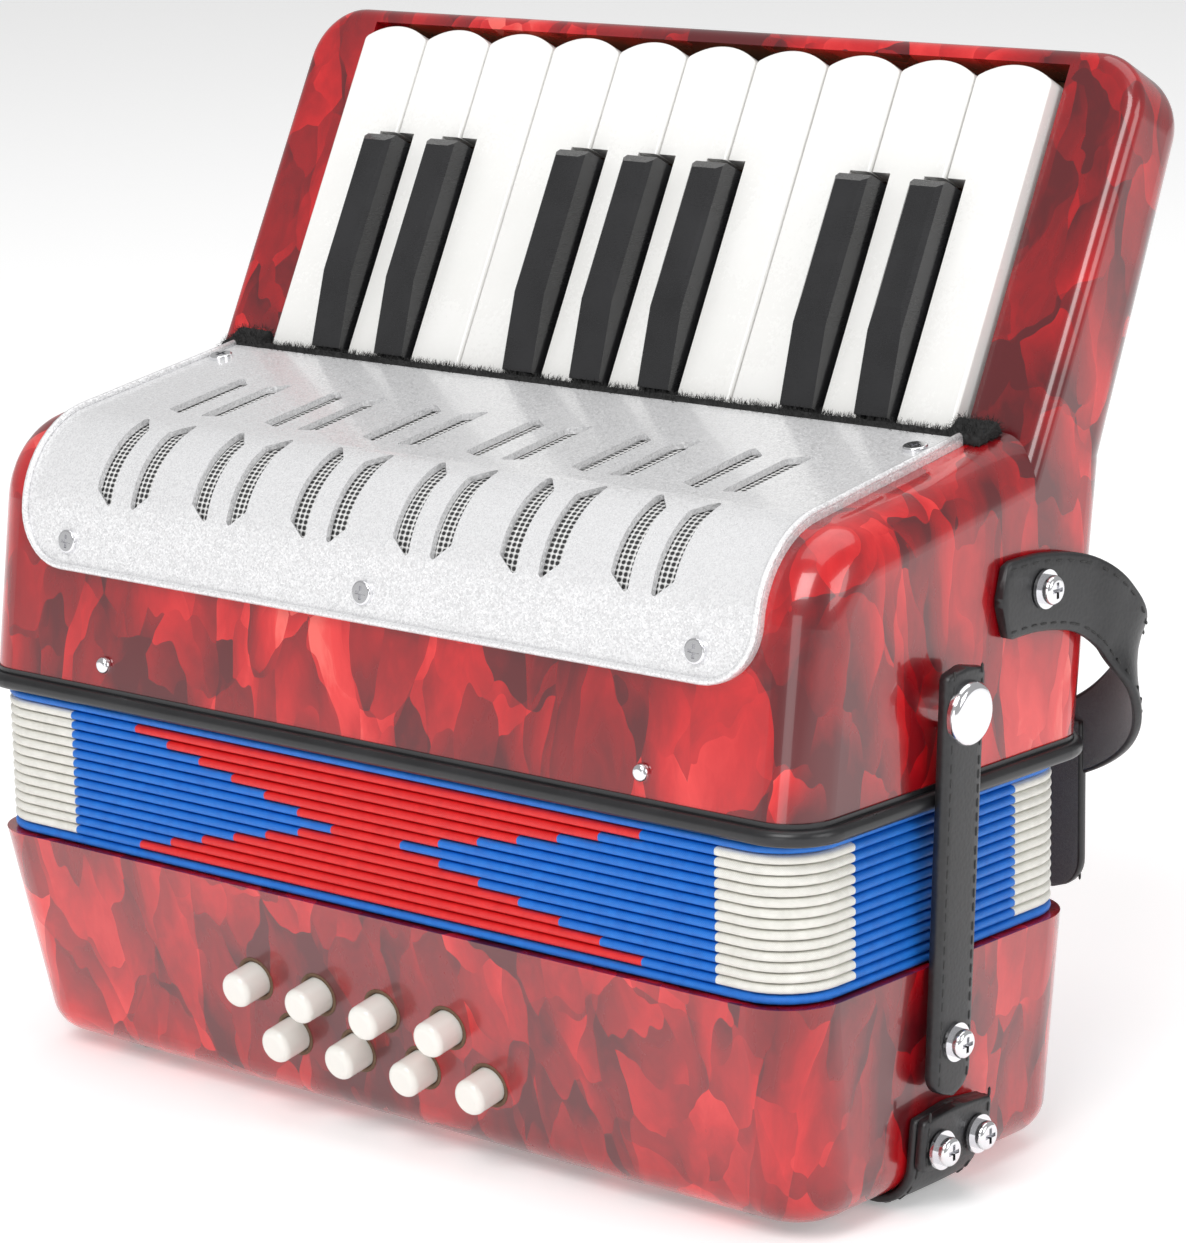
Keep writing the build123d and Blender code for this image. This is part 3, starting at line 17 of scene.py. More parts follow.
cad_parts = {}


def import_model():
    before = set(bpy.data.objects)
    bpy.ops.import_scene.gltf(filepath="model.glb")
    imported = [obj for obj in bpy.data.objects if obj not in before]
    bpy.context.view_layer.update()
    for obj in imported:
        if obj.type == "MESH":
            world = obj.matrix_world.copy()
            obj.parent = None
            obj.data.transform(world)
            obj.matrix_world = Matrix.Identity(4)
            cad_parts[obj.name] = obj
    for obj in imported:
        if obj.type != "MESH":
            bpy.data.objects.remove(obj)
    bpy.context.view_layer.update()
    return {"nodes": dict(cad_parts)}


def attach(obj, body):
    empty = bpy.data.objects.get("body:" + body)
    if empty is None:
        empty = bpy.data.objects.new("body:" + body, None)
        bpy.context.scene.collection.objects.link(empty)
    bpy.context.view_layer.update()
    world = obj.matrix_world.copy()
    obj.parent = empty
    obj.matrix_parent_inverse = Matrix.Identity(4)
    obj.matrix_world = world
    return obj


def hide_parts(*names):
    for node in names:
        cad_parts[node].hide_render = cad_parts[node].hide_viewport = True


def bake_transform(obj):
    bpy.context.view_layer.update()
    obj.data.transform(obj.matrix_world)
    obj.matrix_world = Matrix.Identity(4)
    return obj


log = logging.getLogger("accordion")
MM = 0.001
Colour = tuple[float, float, float]
Stops = tuple[tuple[float, Colour], ...]


# ---------------------------------------------------------------- shader wiring
class Wiring:
    """Adds and joins the nodes of one shader tree."""

    def __init__(self, tree: bpy.types.NodeTree) -> None:
        """Keep the tree.

        Args:
            tree: the tree that gets the nodes.
        """
        self.tree = tree

    def node(self, kind: str, inputs: dict | None = None, **settings: object) -> bpy.types.Node:
        """Add a node.

        Args:
            kind: Blender's name of the node type, without its ShaderNode prefix.
            inputs: a value or a socket for each named or numbered input.
            settings: the node's own properties.

        Returns:
            The new node.
        """
        made = self.tree.nodes.new("ShaderNode" + kind)
        for key, value in settings.items():
            setattr(made, key, value)
        for key, value in (inputs or {}).items():
            if isinstance(value, bpy.types.NodeSocket):
                self.tree.links.new(value, made.inputs[key])
            else:
                made.inputs[key].default_value = value
        return made

    def math(self, operation: str, first: object, second: object = 0.0,
             clamp: bool = False) -> bpy.types.NodeSocket:
        """Combine two numbers.

        Args:
            operation: the Math node's operation.
            first: a number or socket.
            second: a number or socket.
            clamp: keep the result between 0 and 1.

        Returns:
            The result's socket.
        """
        made = self.node("Math", {0: first, 1: second}, operation=operation, use_clamp=clamp)
        return made.outputs[0]

    def vector(self, operation: str, first: object, second: object = (0, 0, 0)) -> bpy.types.Node:
        """Combine two vectors.

        Args:
            operation: the Vector Math node's operation.
            first: a vector or socket.
            second: a vector or socket.

        Returns:
            The node: its output 0 is a vector, and 1 a number.
        """
        return self.node("VectorMath", {0: first, 1: second}, operation=operation)

    def noise(self, place: object, scale: object, detail: float = 3.0, rough: float = 0.55) -> bpy.types.Node:
        """Add a noise texture.

        Args:
            place: the coordinate socket.
            scale: features per metre.
            detail: number of finer layers.
            rough: strength of the finer layers.

        Returns:
            The noise node.
        """
        return self.node("TexNoise", {"Vector": place, "Scale": scale, "Detail": detail, "Roughness": rough})


Built = tuple[object, object]


def pearl_flakes_and_sheen(w: Wiring, place: object, per_metre: object) -> Built:
    """Slanting flakes of celluloid run into each other, each with a painted sheen: a shading gradient across
    its own direction, over the celluloid's own cloudy streaks.
    """
    slant = w.node("Mapping", {"Vector": place, "Rotation": (0.61, 0.70, 0.35), "Scale": (1.0, 1.0, 0.5)})
    place = slant.outputs[0]
    swirl = w.noise(place, w.math("MULTIPLY", per_metre, 0.9)).outputs["Color"]
    bend = w.vector("SUBTRACT", swirl, (0.5, 0.5, 0.5))
    reach = w.math("DIVIDE", 0.9, per_metre)
    shift = w.node("VectorMath", {0: bend.outputs[0], "Scale": reach}, operation="SCALE")
    bent = w.vector("ADD", place, shift.outputs[0]).outputs[0]
    flake = w.node("TexVoronoi", {"Vector": bent, "Scale": per_metre}, feature="F1")
    inside = w.vector("SUBTRACT", bent, flake.outputs["Position"])
    sized = w.node("VectorMath", {0: inside.outputs[0], "Scale": per_metre}, operation="SCALE")
    facing = w.vector("SUBTRACT", flake.outputs["Color"], (0.5, 0.5, 0.5))
    slope = w.vector("DOT_PRODUCT", sized.outputs[0], facing.outputs[0]).outputs[1]
    small = w.node("TexVoronoi", {"Vector": bent, "Scale": w.math("MULTIPLY", per_metre, 2.7)}, feature="F1")
    small_in = w.vector("SUBTRACT", bent, small.outputs["Position"])
    small_scale = w.math("MULTIPLY", per_metre, 2.7)
    small_size = w.node("VectorMath", {0: small_in.outputs[0], "Scale": small_scale}, operation="SCALE")
    small_face = w.vector("SUBTRACT", small.outputs["Color"], (0.5, 0.5, 0.5))
    small_flake_sheen = w.vector("DOT_PRODUCT", small_size.outputs[0], small_face.outputs[0]).outputs[1]
    cloud = w.noise(place, w.math("MULTIPLY", per_metre, 0.45), 2.0).outputs[0]
    fine = w.noise(bent, w.math("MULTIPLY", per_metre, 7.0), 4.0, 0.6).outputs[0]
    # Colour tone: the flake and small-flake gradients are painted sheen, lit on one side; the cloud and fine
    # noise are the celluloid's own streaks.
    tone = w.math("MULTIPLY_ADD", slope, 0.95)
    tone.node.inputs[2].default_value = 0.42
    tone = w.math("ADD", tone, w.math("MULTIPLY", small_flake_sheen, 0.75))
    tone = w.math("ADD", tone, w.math("MULTIPLY", w.math("SUBTRACT", cloud, 0.5), 1.1))
    tone = w.math("ADD", tone, w.math("MULTIPLY", w.math("SUBTRACT", fine, 0.5), 0.35), clamp=True)
    return tone, w.noise(place, 40.0, 2.0).outputs[0]


def glitter_flakes(w: Wiring, place: object, per_metre: object) -> Built:
    """Tiny flat flakes, each tilted and shaded its own way."""
    flake = w.node("TexVoronoi", {"Vector": place, "Scale": per_metre}, feature="F1")
    inside = w.vector("SUBTRACT", place, flake.outputs["Position"])
    sized = w.node("VectorMath", {0: inside.outputs[0], "Scale": per_metre}, operation="SCALE")
    facing = w.vector("SUBTRACT", flake.outputs["Color"], (0.5, 0.5, 0.5))
    slope = w.vector("DOT_PRODUCT", sized.outputs[0], facing.outputs[0]).outputs[1]
    shade = w.node("SeparateColor", {0: flake.outputs["Color"]}).outputs[0]
    return w.math("POWER", shade, 1.4), w.math("ADD", slope, 0.5)


def fine_scratches(w: Wiring, place: object, per_metre: object) -> Built:
    """Hairline scratches and faint smears of a handled surface."""
    stretched = w.vector("MULTIPLY", place, (1.0, 0.25, 6.0)).outputs[0]
    lines = w.noise(stretched, per_metre, 5.0, 0.7).outputs[0]
    smear = w.noise(place, w.math("MULTIPLY", per_metre, 0.06), 2.0).outputs[0]
    tone = w.math("ADD", w.math("MULTIPLY", lines, 0.5), w.math("MULTIPLY", smear, 0.5), clamp=True)
    return tone, lines


def wood_grain(w: Wiring, place: object, per_metre: object) -> Built:
    """Long fibres with slow dark bands."""
    along = w.vector("MULTIPLY", place, (0.06, 1.0, 1.0)).outputs[0]
    fibre = w.noise(along, per_metre, 5.0, 0.65).outputs[0]
    band = w.noise(along, w.math("MULTIPLY", per_metre, 0.2), 2.0).outputs[0]
    return w.math("ADD", w.math("MULTIPLY", fibre, 0.55), w.math("MULTIPLY", band, 0.45), clamp=True), fibre


def cloth_weave(w: Wiring, place: object, per_metre: object) -> Built:
    """Fine linen threads under lacquer."""
    turn = w.math("MULTIPLY", per_metre, 2 * pi)
    parts = w.node("SeparateXYZ", {0: place})
    along = w.math("ADD", parts.outputs[0], parts.outputs[1])
    first = w.math("SINE", w.math("MULTIPLY", along, turn))
    second = w.math("SINE", w.math("MULTIPLY", parts.outputs[2], turn))
    weave = w.math("MULTIPLY_ADD", w.math("MULTIPLY", first, second), 0.5)
    weave.node.inputs[2].default_value = 0.5
    worn = w.noise(place, w.math("MULTIPLY", per_metre, 0.15), 4.0, 0.7).outputs[0]
    return w.math("ADD", w.math("MULTIPLY", weave, 0.35), w.math("MULTIPLY", worn, 0.65), clamp=True), weave


def leather_grain(w: Wiring, place: object, per_metre: object) -> Built:
    """Pebbled skin with worn high spots."""
    cell = w.node("TexVoronoi", {"Vector": place, "Scale": per_metre}, feature="SMOOTH_F1").outputs["Distance"]
    worn = w.noise(place, w.math("MULTIPLY", per_metre, 0.1), 4.0).outputs[0]
    return w.math("ADD", w.math("MULTIPLY", cell, 0.3), w.math("MULTIPLY", worn, 0.6), clamp=True), cell


def felt_fibres(w: Wiring, place: object, per_metre: object) -> Built:
    """Matted short fibres."""
    tangle = w.noise(place, per_metre, 6.0, 0.8).outputs[0]
    return tangle, w.noise(place, w.math("MULTIPLY", per_metre, 2.0), 4.0, 0.8).outputs[0]


def moulded_skin(w: Wiring, place: object, per_metre: object) -> Built:
    """Very faint waviness and dust of polished plastic or rubber."""
    wave = w.noise(place, w.math("MULTIPLY", per_metre, 0.05), 2.0).outputs[0]
    dust = w.noise(place, per_metre, 5.0, 0.75).outputs[0]
    return w.math("ADD", w.math("MULTIPLY", wave, 0.6), w.math("MULTIPLY", dust, 0.4), clamp=True), wave


def open_weave(w: Wiring, place: object, per_metre: object) -> Built:
    """Gauze of pale threads round small holes painted dark as shade, square on both faces of the bend."""
    parts = w.node("SeparateXYZ", {0: place})
    up = w.math("DIVIDE", w.math("ADD", parts.outputs[1], parts.outputs[2]), 1.15)
    half_turn = w.math("MULTIPLY", per_metre, pi)
    first = w.math("ABSOLUTE", w.math("SINE", w.math("MULTIPLY", parts.outputs[0], half_turn)))
    second = w.math("ABSOLUTE", w.math("SINE", w.math("MULTIPLY", up, half_turn)))
    hole_shade_mask = w.math("MULTIPLY", first, second)
    thread = w.math("SUBTRACT", 1.0, w.math("SMOOTH_MIN", w.math("MULTIPLY", hole_shade_mask, 1.7), 1.0))
    uneven = w.noise(place, w.math("MULTIPLY", per_metre, 0.5), 2.0).outputs[0]
    # Tone goes dark in the holes as painted shade from the hollow behind the gauze; the threads keep their pale
    # colour.
    tone = w.math("MULTIPLY", thread, w.math("ADD", 0.55, uneven), clamp=True)
    return tone, thread


class Effect(Enum):
    """Surface effects, each one a shared node group."""

    PEARL = "pearl_flakes_and_sheen"
    GLITTER = "glitter_flakes"
    SCRATCHES = "fine_scratches"
    WOOD = "wood_grain"
    CLOTH = "cloth_weave"
    LEATHER = "leather_grain"
    FELT = "felt_fibres"
    MOULDED = "moulded_skin"
    GAUZE = "open_weave"


BUILDERS: dict[Effect, Callable[[Wiring, object, object], Built]] = {
    Effect.PEARL: pearl_flakes_and_sheen, Effect.GLITTER: glitter_flakes, Effect.SCRATCHES: fine_scratches,
    Effect.WOOD: wood_grain, Effect.CLOTH: cloth_weave, Effect.LEATHER: leather_grain,
    Effect.FELT: felt_fibres, Effect.MOULDED: moulded_skin, Effect.GAUZE: open_weave,
}


def effect_group(effect: Effect) -> bpy.types.NodeTree:
    """Build an effect's group once.

    Args:
        effect: which effect.

    Returns:
        The group, with a Size input in millimetres, and Tone and Height outputs.
    """
    known = bpy.data.node_groups.get(effect.value)
    if known:
        return known
    tree = bpy.data.node_groups.new(effect.value, "ShaderNodeTree")
    tree.interface.new_socket("Size", in_out="INPUT", socket_type="NodeSocketFloat")
    tree.interface.new_socket("Tone", in_out="OUTPUT", socket_type="NodeSocketFloat")
    tree.interface.new_socket("Height", in_out="OUTPUT", socket_type="NodeSocketFloat")
    wiring = Wiring(tree)
    entry = tree.nodes.new("NodeGroupInput")
    leave = tree.nodes.new("NodeGroupOutput")
    place = wiring.node("TexCoord").outputs["Object"]
    per_metre = wiring.math("DIVIDE", 1000.0, entry.outputs["Size"])
    tone, height = BUILDERS[effect](wiring, place, per_metre)
    tree.links.new(tone, leave.inputs["Tone"])
    tree.links.new(height, leave.inputs["Height"])
    return tree


@dataclass(frozen=True)
class Finish:
    """One finish: colours over the effect's tone, gloss, and relief."""

    name: str
    slot: str
    effect: Effect
    size: float
    colours: Stops
    rough: tuple[float, float]
    relief: float = 0.05
    metal: float = 0.0
    coat: float = 0.0
    coat_rough: float = 0.03
    sheen: float = 0.0
    ior: float = 1.5

    def material(self) -> bpy.types.Material:
        """Build the material once.

        Returns:
            The material.
        """
        known = bpy.data.materials.get(self.name)
        if known:
            return known
        made = bpy.data.materials.new(self.name)
        made.use_nodes = True
        wiring = Wiring(made.node_tree)
        skin = made.node_tree.nodes["Principled BSDF"]
        group = wiring.node("Group", node_tree=effect_group(self.effect))
        group.inputs["Size"].default_value = self.size
        ramp = wiring.node("ValToRGB", {0: group.outputs["Tone"]})
        points = ramp.color_ramp.elements
        while len(points) < len(self.colours):
            points.new(0.5)
        for point, (place, colour) in zip(points, self.colours):
            point.position = place
            point.color = (*colour, 1.0)
        gloss = wiring.node("MapRange", {0: group.outputs["Tone"], 3: self.rough[0], 4: self.rough[1]})
        bump = wiring.node("Bump", {"Height": group.outputs["Height"], "Distance": self.relief * MM,
                                    "Strength": 1.0})
        made.node_tree.links.new(ramp.outputs[0], skin.inputs["Base Color"])
        made.node_tree.links.new(gloss.outputs[0], skin.inputs["Roughness"])
        made.node_tree.links.new(bump.outputs[0], skin.inputs["Normal"])
        skin.inputs["Metallic"].default_value = self.metal
        skin.inputs["Coat Weight"].default_value = self.coat
        skin.inputs["Coat Roughness"].default_value = self.coat_rough
        skin.inputs["Sheen Weight"].default_value = self.sheen
        skin.inputs["IOR"].default_value = self.ior
        return made


def shades(dark: Colour, light: Colour) -> Stops:
    """Two colour stops, from the darkest tone to the lightest."""
    return ((0.25, dark), (0.75, light))


# Red pearl celluloid: the deep reds are its own colour; the light end of the ramp up to the pinkish top stop is
# painted highlight on each flake's sheen.
PEARL = Finish(
    "red_pearl_celluloid_painted_sheen", "pearl_shell", Effect.PEARL, 26.0,
    ((0.0, (0.10, 0.001, 0.004)), (0.38, (0.33, 0.002, 0.006)), (0.62, (0.56, 0.006, 0.010)),
     (0.86, (0.76, 0.03, 0.03)), (1.0, (0.85, 0.12, 0.10))),
    (0.3, 0.18), 0.02, coat=0.8)
RUBBER = Finish(
    "black_rubber", "rubber", Effect.MOULDED, 0.8,
    shades((0.008, 0.008, 0.009), (0.022, 0.022, 0.024)), (0.22, 0.4), 0.03)
PALE_WOOD = Finish(
    "raw_spruce", "pale_wood", Effect.WOOD, 1.2,
    shades((0.42, 0.26, 0.13), (0.72, 0.52, 0.31)), (0.5, 0.65), 0.06)
BED_WOOD = Finish(
    "stained_bed_wood", "bed_wood", Effect.WOOD, 1.0,
    shades((0.12, 0.045, 0.015), (0.32, 0.15, 0.06)), (0.45, 0.6), 0.06)
REED_METAL = Finish(
    "reed_brass", "reed_metal", Effect.SCRATCHES, 1.0,
    shades((0.55, 0.4, 0.16), (0.8, 0.63, 0.32)), (0.25, 0.42), 0.01, metal=1.0)
STEEL = Finish(
    "drawn_steel", "spring_steel", Effect.SCRATCHES, 0.6,
    shades((0.36, 0.36, 0.38), (0.6, 0.6, 0.62)), (0.25, 0.45), 0.01, metal=1.0)
CHROME = Finish(
    "bright_steel", "bright_steel", Effect.SCRATCHES, 0.7,
    shades((0.66, 0.66, 0.68), (0.9, 0.9, 0.91)), (0.1, 0.26), 0.008, metal=1.0)
GLITTER = Finish(
    "silver_glitter", "glitter_sheet", Effect.GLITTER, 0.38,
    ((0.0, (0.70, 0.70, 0.71)), (0.35, (0.86, 0.86, 0.87)), (1.0, (0.97, 0.97, 0.98))),
    (0.5, 0.28), 0.14, metal=0.35, coat=0.7, coat_rough=0.12)
# Gauze: the near-black first stop is painted shade in the holes of the weave; the pale stops are the threads.
GAUZE = Finish(
    "woven_gauze_painted_hole_shade", "woven_mesh", Effect.GAUZE, 1.35,
    ((0.12, (0.02, 0.02, 0.021)), (0.32, (0.40, 0.40, 0.40)), (0.6, (0.88, 0.88, 0.87))),
    (0.6, 0.5), 0.35)
FELT = Finish(
    "black_felt", "black_felt", Effect.FELT, 0.5,
    shades((0.003, 0.003, 0.003), (0.016, 0.016, 0.017)), (0.9, 1.0), 0.5, sheen=0.25)
LEATHER = Finish(
    "black_leather", "strap_leather", Effect.LEATHER, 0.8,
    shades((0.006, 0.006, 0.007), (0.024, 0.024, 0.026)), (0.34, 0.5), 0.05, coat=0.15, coat_rough=0.3)
SUEDE = Finish(
    "grey_suede", "strap_leather", Effect.FELT, 0.6,
    shades((0.05, 0.05, 0.055), (0.13, 0.13, 0.14)), (0.85, 0.95), 0.2, sheen=0.4)
THREAD = Finish(
    "black_thread", "strap_leather", Effect.CLOTH, 0.25,
    shades((0.01, 0.01, 0.01), (0.035, 0.035, 0.035)), (0.5, 0.65), 0.05)
IVORY = Finish(
    "white_key_plastic", "ivory_plastic", Effect.MOULDED, 0.9,
    shades((0.86, 0.855, 0.83), (0.93, 0.925, 0.905)), (0.2, 0.34), 0.01, coat=0.4)
EBONY = Finish(
    "black_key_plastic", "black_plastic", Effect.SCRATCHES, 0.8,
    shades((0.006, 0.006, 0.007), (0.022, 0.022, 0.024)), (0.2, 0.36), 0.012, coat=0.3)
BUTTON = Finish(
    "button_plastic", "button_plastic", Effect.MOULDED, 0.7,
    shades((0.80, 0.79, 0.75), (0.91, 0.905, 0.88)), (0.28, 0.4), 0.01, coat=0.3)
SLEEVE = Finish(
    "button_sleeve", "bed_wood", Effect.FELT, 0.6,
    shades((0.09, 0.05, 0.025), (0.2, 0.12, 0.07)), (0.7, 0.85), 0.1)
BLUE_CLOTH = Finish(
    "blue_bellows_cloth", "bellows_cloth", Effect.CLOTH, 0.45,
    shades((0.002, 0.10, 0.46), (0.006, 0.19, 0.68)), (0.4, 0.55), 0.03)
RED_CLOTH = Finish(
    "red_bellows_cloth", "bellows_cloth", Effect.CLOTH, 0.45,
    shades((0.55, 0.006, 0.010), (0.80, 0.022, 0.022)), (0.4, 0.55), 0.03)
WHITE_CLOTH = Finish(
    "white_bellows_cloth", "bellows_cloth", Effect.CLOTH, 0.45,
    shades((0.62, 0.61, 0.56), (0.84, 0.83, 0.78)), (0.45, 0.6), 0.03)

NODE_FINISH: tuple[tuple[Finish, tuple[str, ...]], ...] = (
    (PEARL, ("bass_case", "treble_case")),
    (RUBBER, ("bass_feet", "treble_gasket")),
    (PALE_WOOD, ("bass_soundboard", "bass_reed_block", "bellows_frame_bass", "bellows_frame_treble",
                 "treble_soundboard", "treble_reed_block")),
    (BED_WOOD, ("keyboard_bed",)),
    (REED_METAL, ("bass_reed_plates", "treble_reed_plates")),
    (STEEL, ("button_springs", "key_springs", "key_axle")),
    (CHROME, ("bellows_pins", "grille_screws", "strap_screws", "strap_washers", "hand_strap_screws",
              "hand_strap_washers", "shoulder_screws", "shoulder_washers", "snap_studs", "snap_cap_right",
              "snap_cap_left")),
    (GLITTER, ("treble_grille",)),
    (GAUZE, ("grille_mesh",)),
    (FELT, ("key_felt",)),
    (IVORY, tuple(f"white_key_{number}" for number in range(1, 11))),
    (EBONY, tuple(f"black_key_{number}" for number in range(1, 8))),
    (BUTTON, tuple(f"bass_button_{number}" for number in range(1, 9))),
)


# ---------------------------------------------------------------- mesh making
def mesh_piece(name: str, corners: Sequence[Sequence[float]], faces: Iterable[Sequence[int]],
               finishes: Sequence[Finish], picks: Sequence[int] | None = None,
               smooth: bool = True) -> bpy.types.Object:
    """Make a mesh object.

    Args:
        name: the piece's name.
        corners: places in millimetres.
        faces: corner numbers of each face.
        finishes: the materials.
        picks: which finish each face has.
        smooth: shade the faces smooth.

    Returns:
        The object, linked to the scene.
    """
    mesh = bpy.data.meshes.new(name)
    mesh.from_pydata([Vector(corner) * MM for corner in corners], [], list(faces))
    for finish in finishes:
        mesh.materials.append(finish.material())
    if picks is not None:
        mesh.polygons.foreach_set("material_index", list(picks))
    mesh.polygons.foreach_set("use_smooth", [smooth] * len(mesh.polygons))
    mesh.update()
    made = bpy.data.objects.new(name, mesh)
    bpy.context.scene.collection.objects.link(made)
    return made


def ring_faces(rings: int, count: int, start: int = 0) -> list[tuple[int, int, int, int]]:
    """Faces that join each ring of corners to the next.

    Args:
        rings: how many rings.
        count: corners in each ring.
        start: number of the first corner.

    Returns:
        The faces, ring by ring.
    """
    found = []
    for ring in range(rings - 1):
        low = start + ring * count
        for at in range(count):
            after = (at + 1) % count
            found.append((low + at, low + after, low + count + after, low + count + at))
    return found


def end_caps(rings: int, count: int) -> list[tuple[int, ...]]:
    """Faces that close the first ring and the last one."""
    return [tuple(reversed(range(count))), tuple(range((rings - 1) * count, rings * count))]


def smooth_path(stations: Sequence[Vector], steps: int) -> list[Vector]:
    """Points along a smooth curve through every station.

    Args:
        stations: places the curve passes.
        steps: points from one station to the next.

    Returns:
        The points, both ends included.
    """
    ends = [stations[0] * 2 - stations[1], *stations, stations[-1] * 2 - stations[-2]]
    path = []
    for before, here, there, after in zip(ends, ends[1:], ends[2:], ends[3:]):
        for step in range(steps):
            t = step / steps
            path.append(0.5 * (2 * here + (there - before) * t
                               + (2 * before - 5 * here + 4 * there - after) * t ** 2
                               + (3 * here - before - 3 * there + after) * t ** 3))
    path.append(stations[-1])
    return path


def rounded_section(width: float, thickness: float, crown: float = 0.0) -> list[tuple[float, float]]:
    """Cross-section of a strap with soft edges.

    Args:
        width: across the strap.
        thickness: through the strap.
        crown: how much the outer face swells in the middle.

    Returns:
        Places (across, outwards) round the section, the outer face first.
    """
    edge = thickness * 0.42
    half, top = width / 2, thickness / 2
    across = [-half + edge + (width - 2 * edge) * share / 6 for share in range(7)]
    outer = [(place, top + crown * (1 - (place / half) ** 2)) for place in across]
    right = [(half - edge + edge * sin(turn), top - edge + edge * cos(turn)) for turn in (0.5, 1.05)]
    right += [(place, -out) for place, out in reversed(right)]
    inner = [(place, -top) for place in reversed(across)]
    left = [(-place, out) for place, out in reversed(right)]
    return outer + right + inner + left


@dataclass
class Strap:
    """A leather strap with a suede inside and a row of stitches near each edge."""

    SUEDE_SIDES = range(11, 17)
    STITCH_RINGS = ((-0.5, 0.12), (-0.32, 0.3), (0.32, 0.3), (0.5, 0.12))
    STITCH_SIDES = 6
    NARROWEST = 0.12
    CROWN = 0.08
    name: str
    path: list[Vector]
    across: list[Vector]
    width: float
    thickness: float
    stitch_inset: float = 1.7
    stitch_step: float = 3.1
    stitch_length: float = 2.1
    round_start: float = 0.0
    round_end: float = 0.0

    def frames(self) -> list[tuple[Vector, Vector, Vector]]:
        """Place, across and outward directions at each point of the path."""
        found = []
        for number, (place, across) in enumerate(zip(self.path, self.across)):
            ahead = self.path[min(number + 1, len(self.path) - 1)] - self.path[max(number - 1, 0)]
            out = across.cross(ahead).normalized()
            found.append((place, across.normalized(), out))
        return found

    def taper(self, run: float, total: float) -> float:
        """Share of the full width at a distance along the strap, for its rounded ends."""
        share = 1.0
        for radius, distance in ((self.round_start, run), (self.round_end, total - run)):
            if radius > 0 and distance < radius:
                share = min(share, max(self.NARROWEST, (1 - (1 - distance / radius) ** 2) ** 0.5))
        return share

    def build(self) -> bpy.types.Object:
        """Make the strap's body.

        Returns:
            The strap.
        """
        corners = []
        section = rounded_section(self.width, self.thickness, self.thickness * self.CROWN)
        count = len(section)
        frames = self.frames()
        runs = [0.0]
        for here, there in zip(self.path, self.path[1:]):
            runs.append(runs[-1] + (there - here).length)
        for (place, across, out), run in zip(frames, runs):
            share = self.taper(run, runs[-1])
            corners += [place + across * side * share + out * rise for side, rise in section]
        faces = ring_faces(len(frames), count) + end_caps(len(frames), count)
        picks = [1 if number in self.SUEDE_SIDES else 0 for number in range(count)] * (len(frames) - 1) + [0, 0]
        return mesh_piece(self.name, corners, faces, (LEATHER, SUEDE), picks)

    def stitches(self) -> bpy.types.Object:
        """Make both rows of stitches.

        Returns:
            The stitches as one mesh.
        """
        corners, faces = [], []
        frames = self.frames()
        run, wait = 0.0, self.stitch_step
        for number in range(1, len(frames)):
            here, across, out = frames[number]
            back = frames[number - 1][0]
            length = (here - back).length
            run += length
            if run < wait:
                continue
            wait += self.stitch_step
            ahead = (here - back).normalized()
            for side in (-1, 1):
                middle = (here + across * side * (self.width / 2 - self.stitch_inset)
                          + out * self.thickness * 0.5)
                start = len(corners)
                for along, size in self.STITCH_RINGS:
                    for turn in range(self.STITCH_SIDES):
                        angle = turn * pi / 3
                        corners.append(middle + ahead * along * self.stitch_length
                                       + across * cos(angle) * size + out * sin(angle) * size)
                faces += ring_faces(len(self.STITCH_RINGS), self.STITCH_SIDES, start)
        return mesh_piece(self.name + "_stitches", corners, faces, (THREAD,))

    def fit(self, body: str, *nodes: str) -> None:
        """Build the strap and its stitches and fasten them.

        Args:
            body: the body they ride on.
            nodes: the solids they stand for, if any.
        """
        strap = self.build()
        if nodes:
            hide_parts(*nodes)
        for piece in (strap, self.stitches()):
            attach(piece, body)
        log.info("strap %s", self.name)


@dataclass
class Body:
    """Main sizes shared by the sub-assemblies."""

    rim_y: float = -17.0
    treble_y: float = -15.4
    half_width: float = 115.0
    bass_bottom: float = 3.0
    treble_mouth: float = 88.5
    treble_front: float = -63.3
    front_lean: float = radians(8.0)
    top_slope: float = radians(8.9)
    crest_rise: float = 51.8


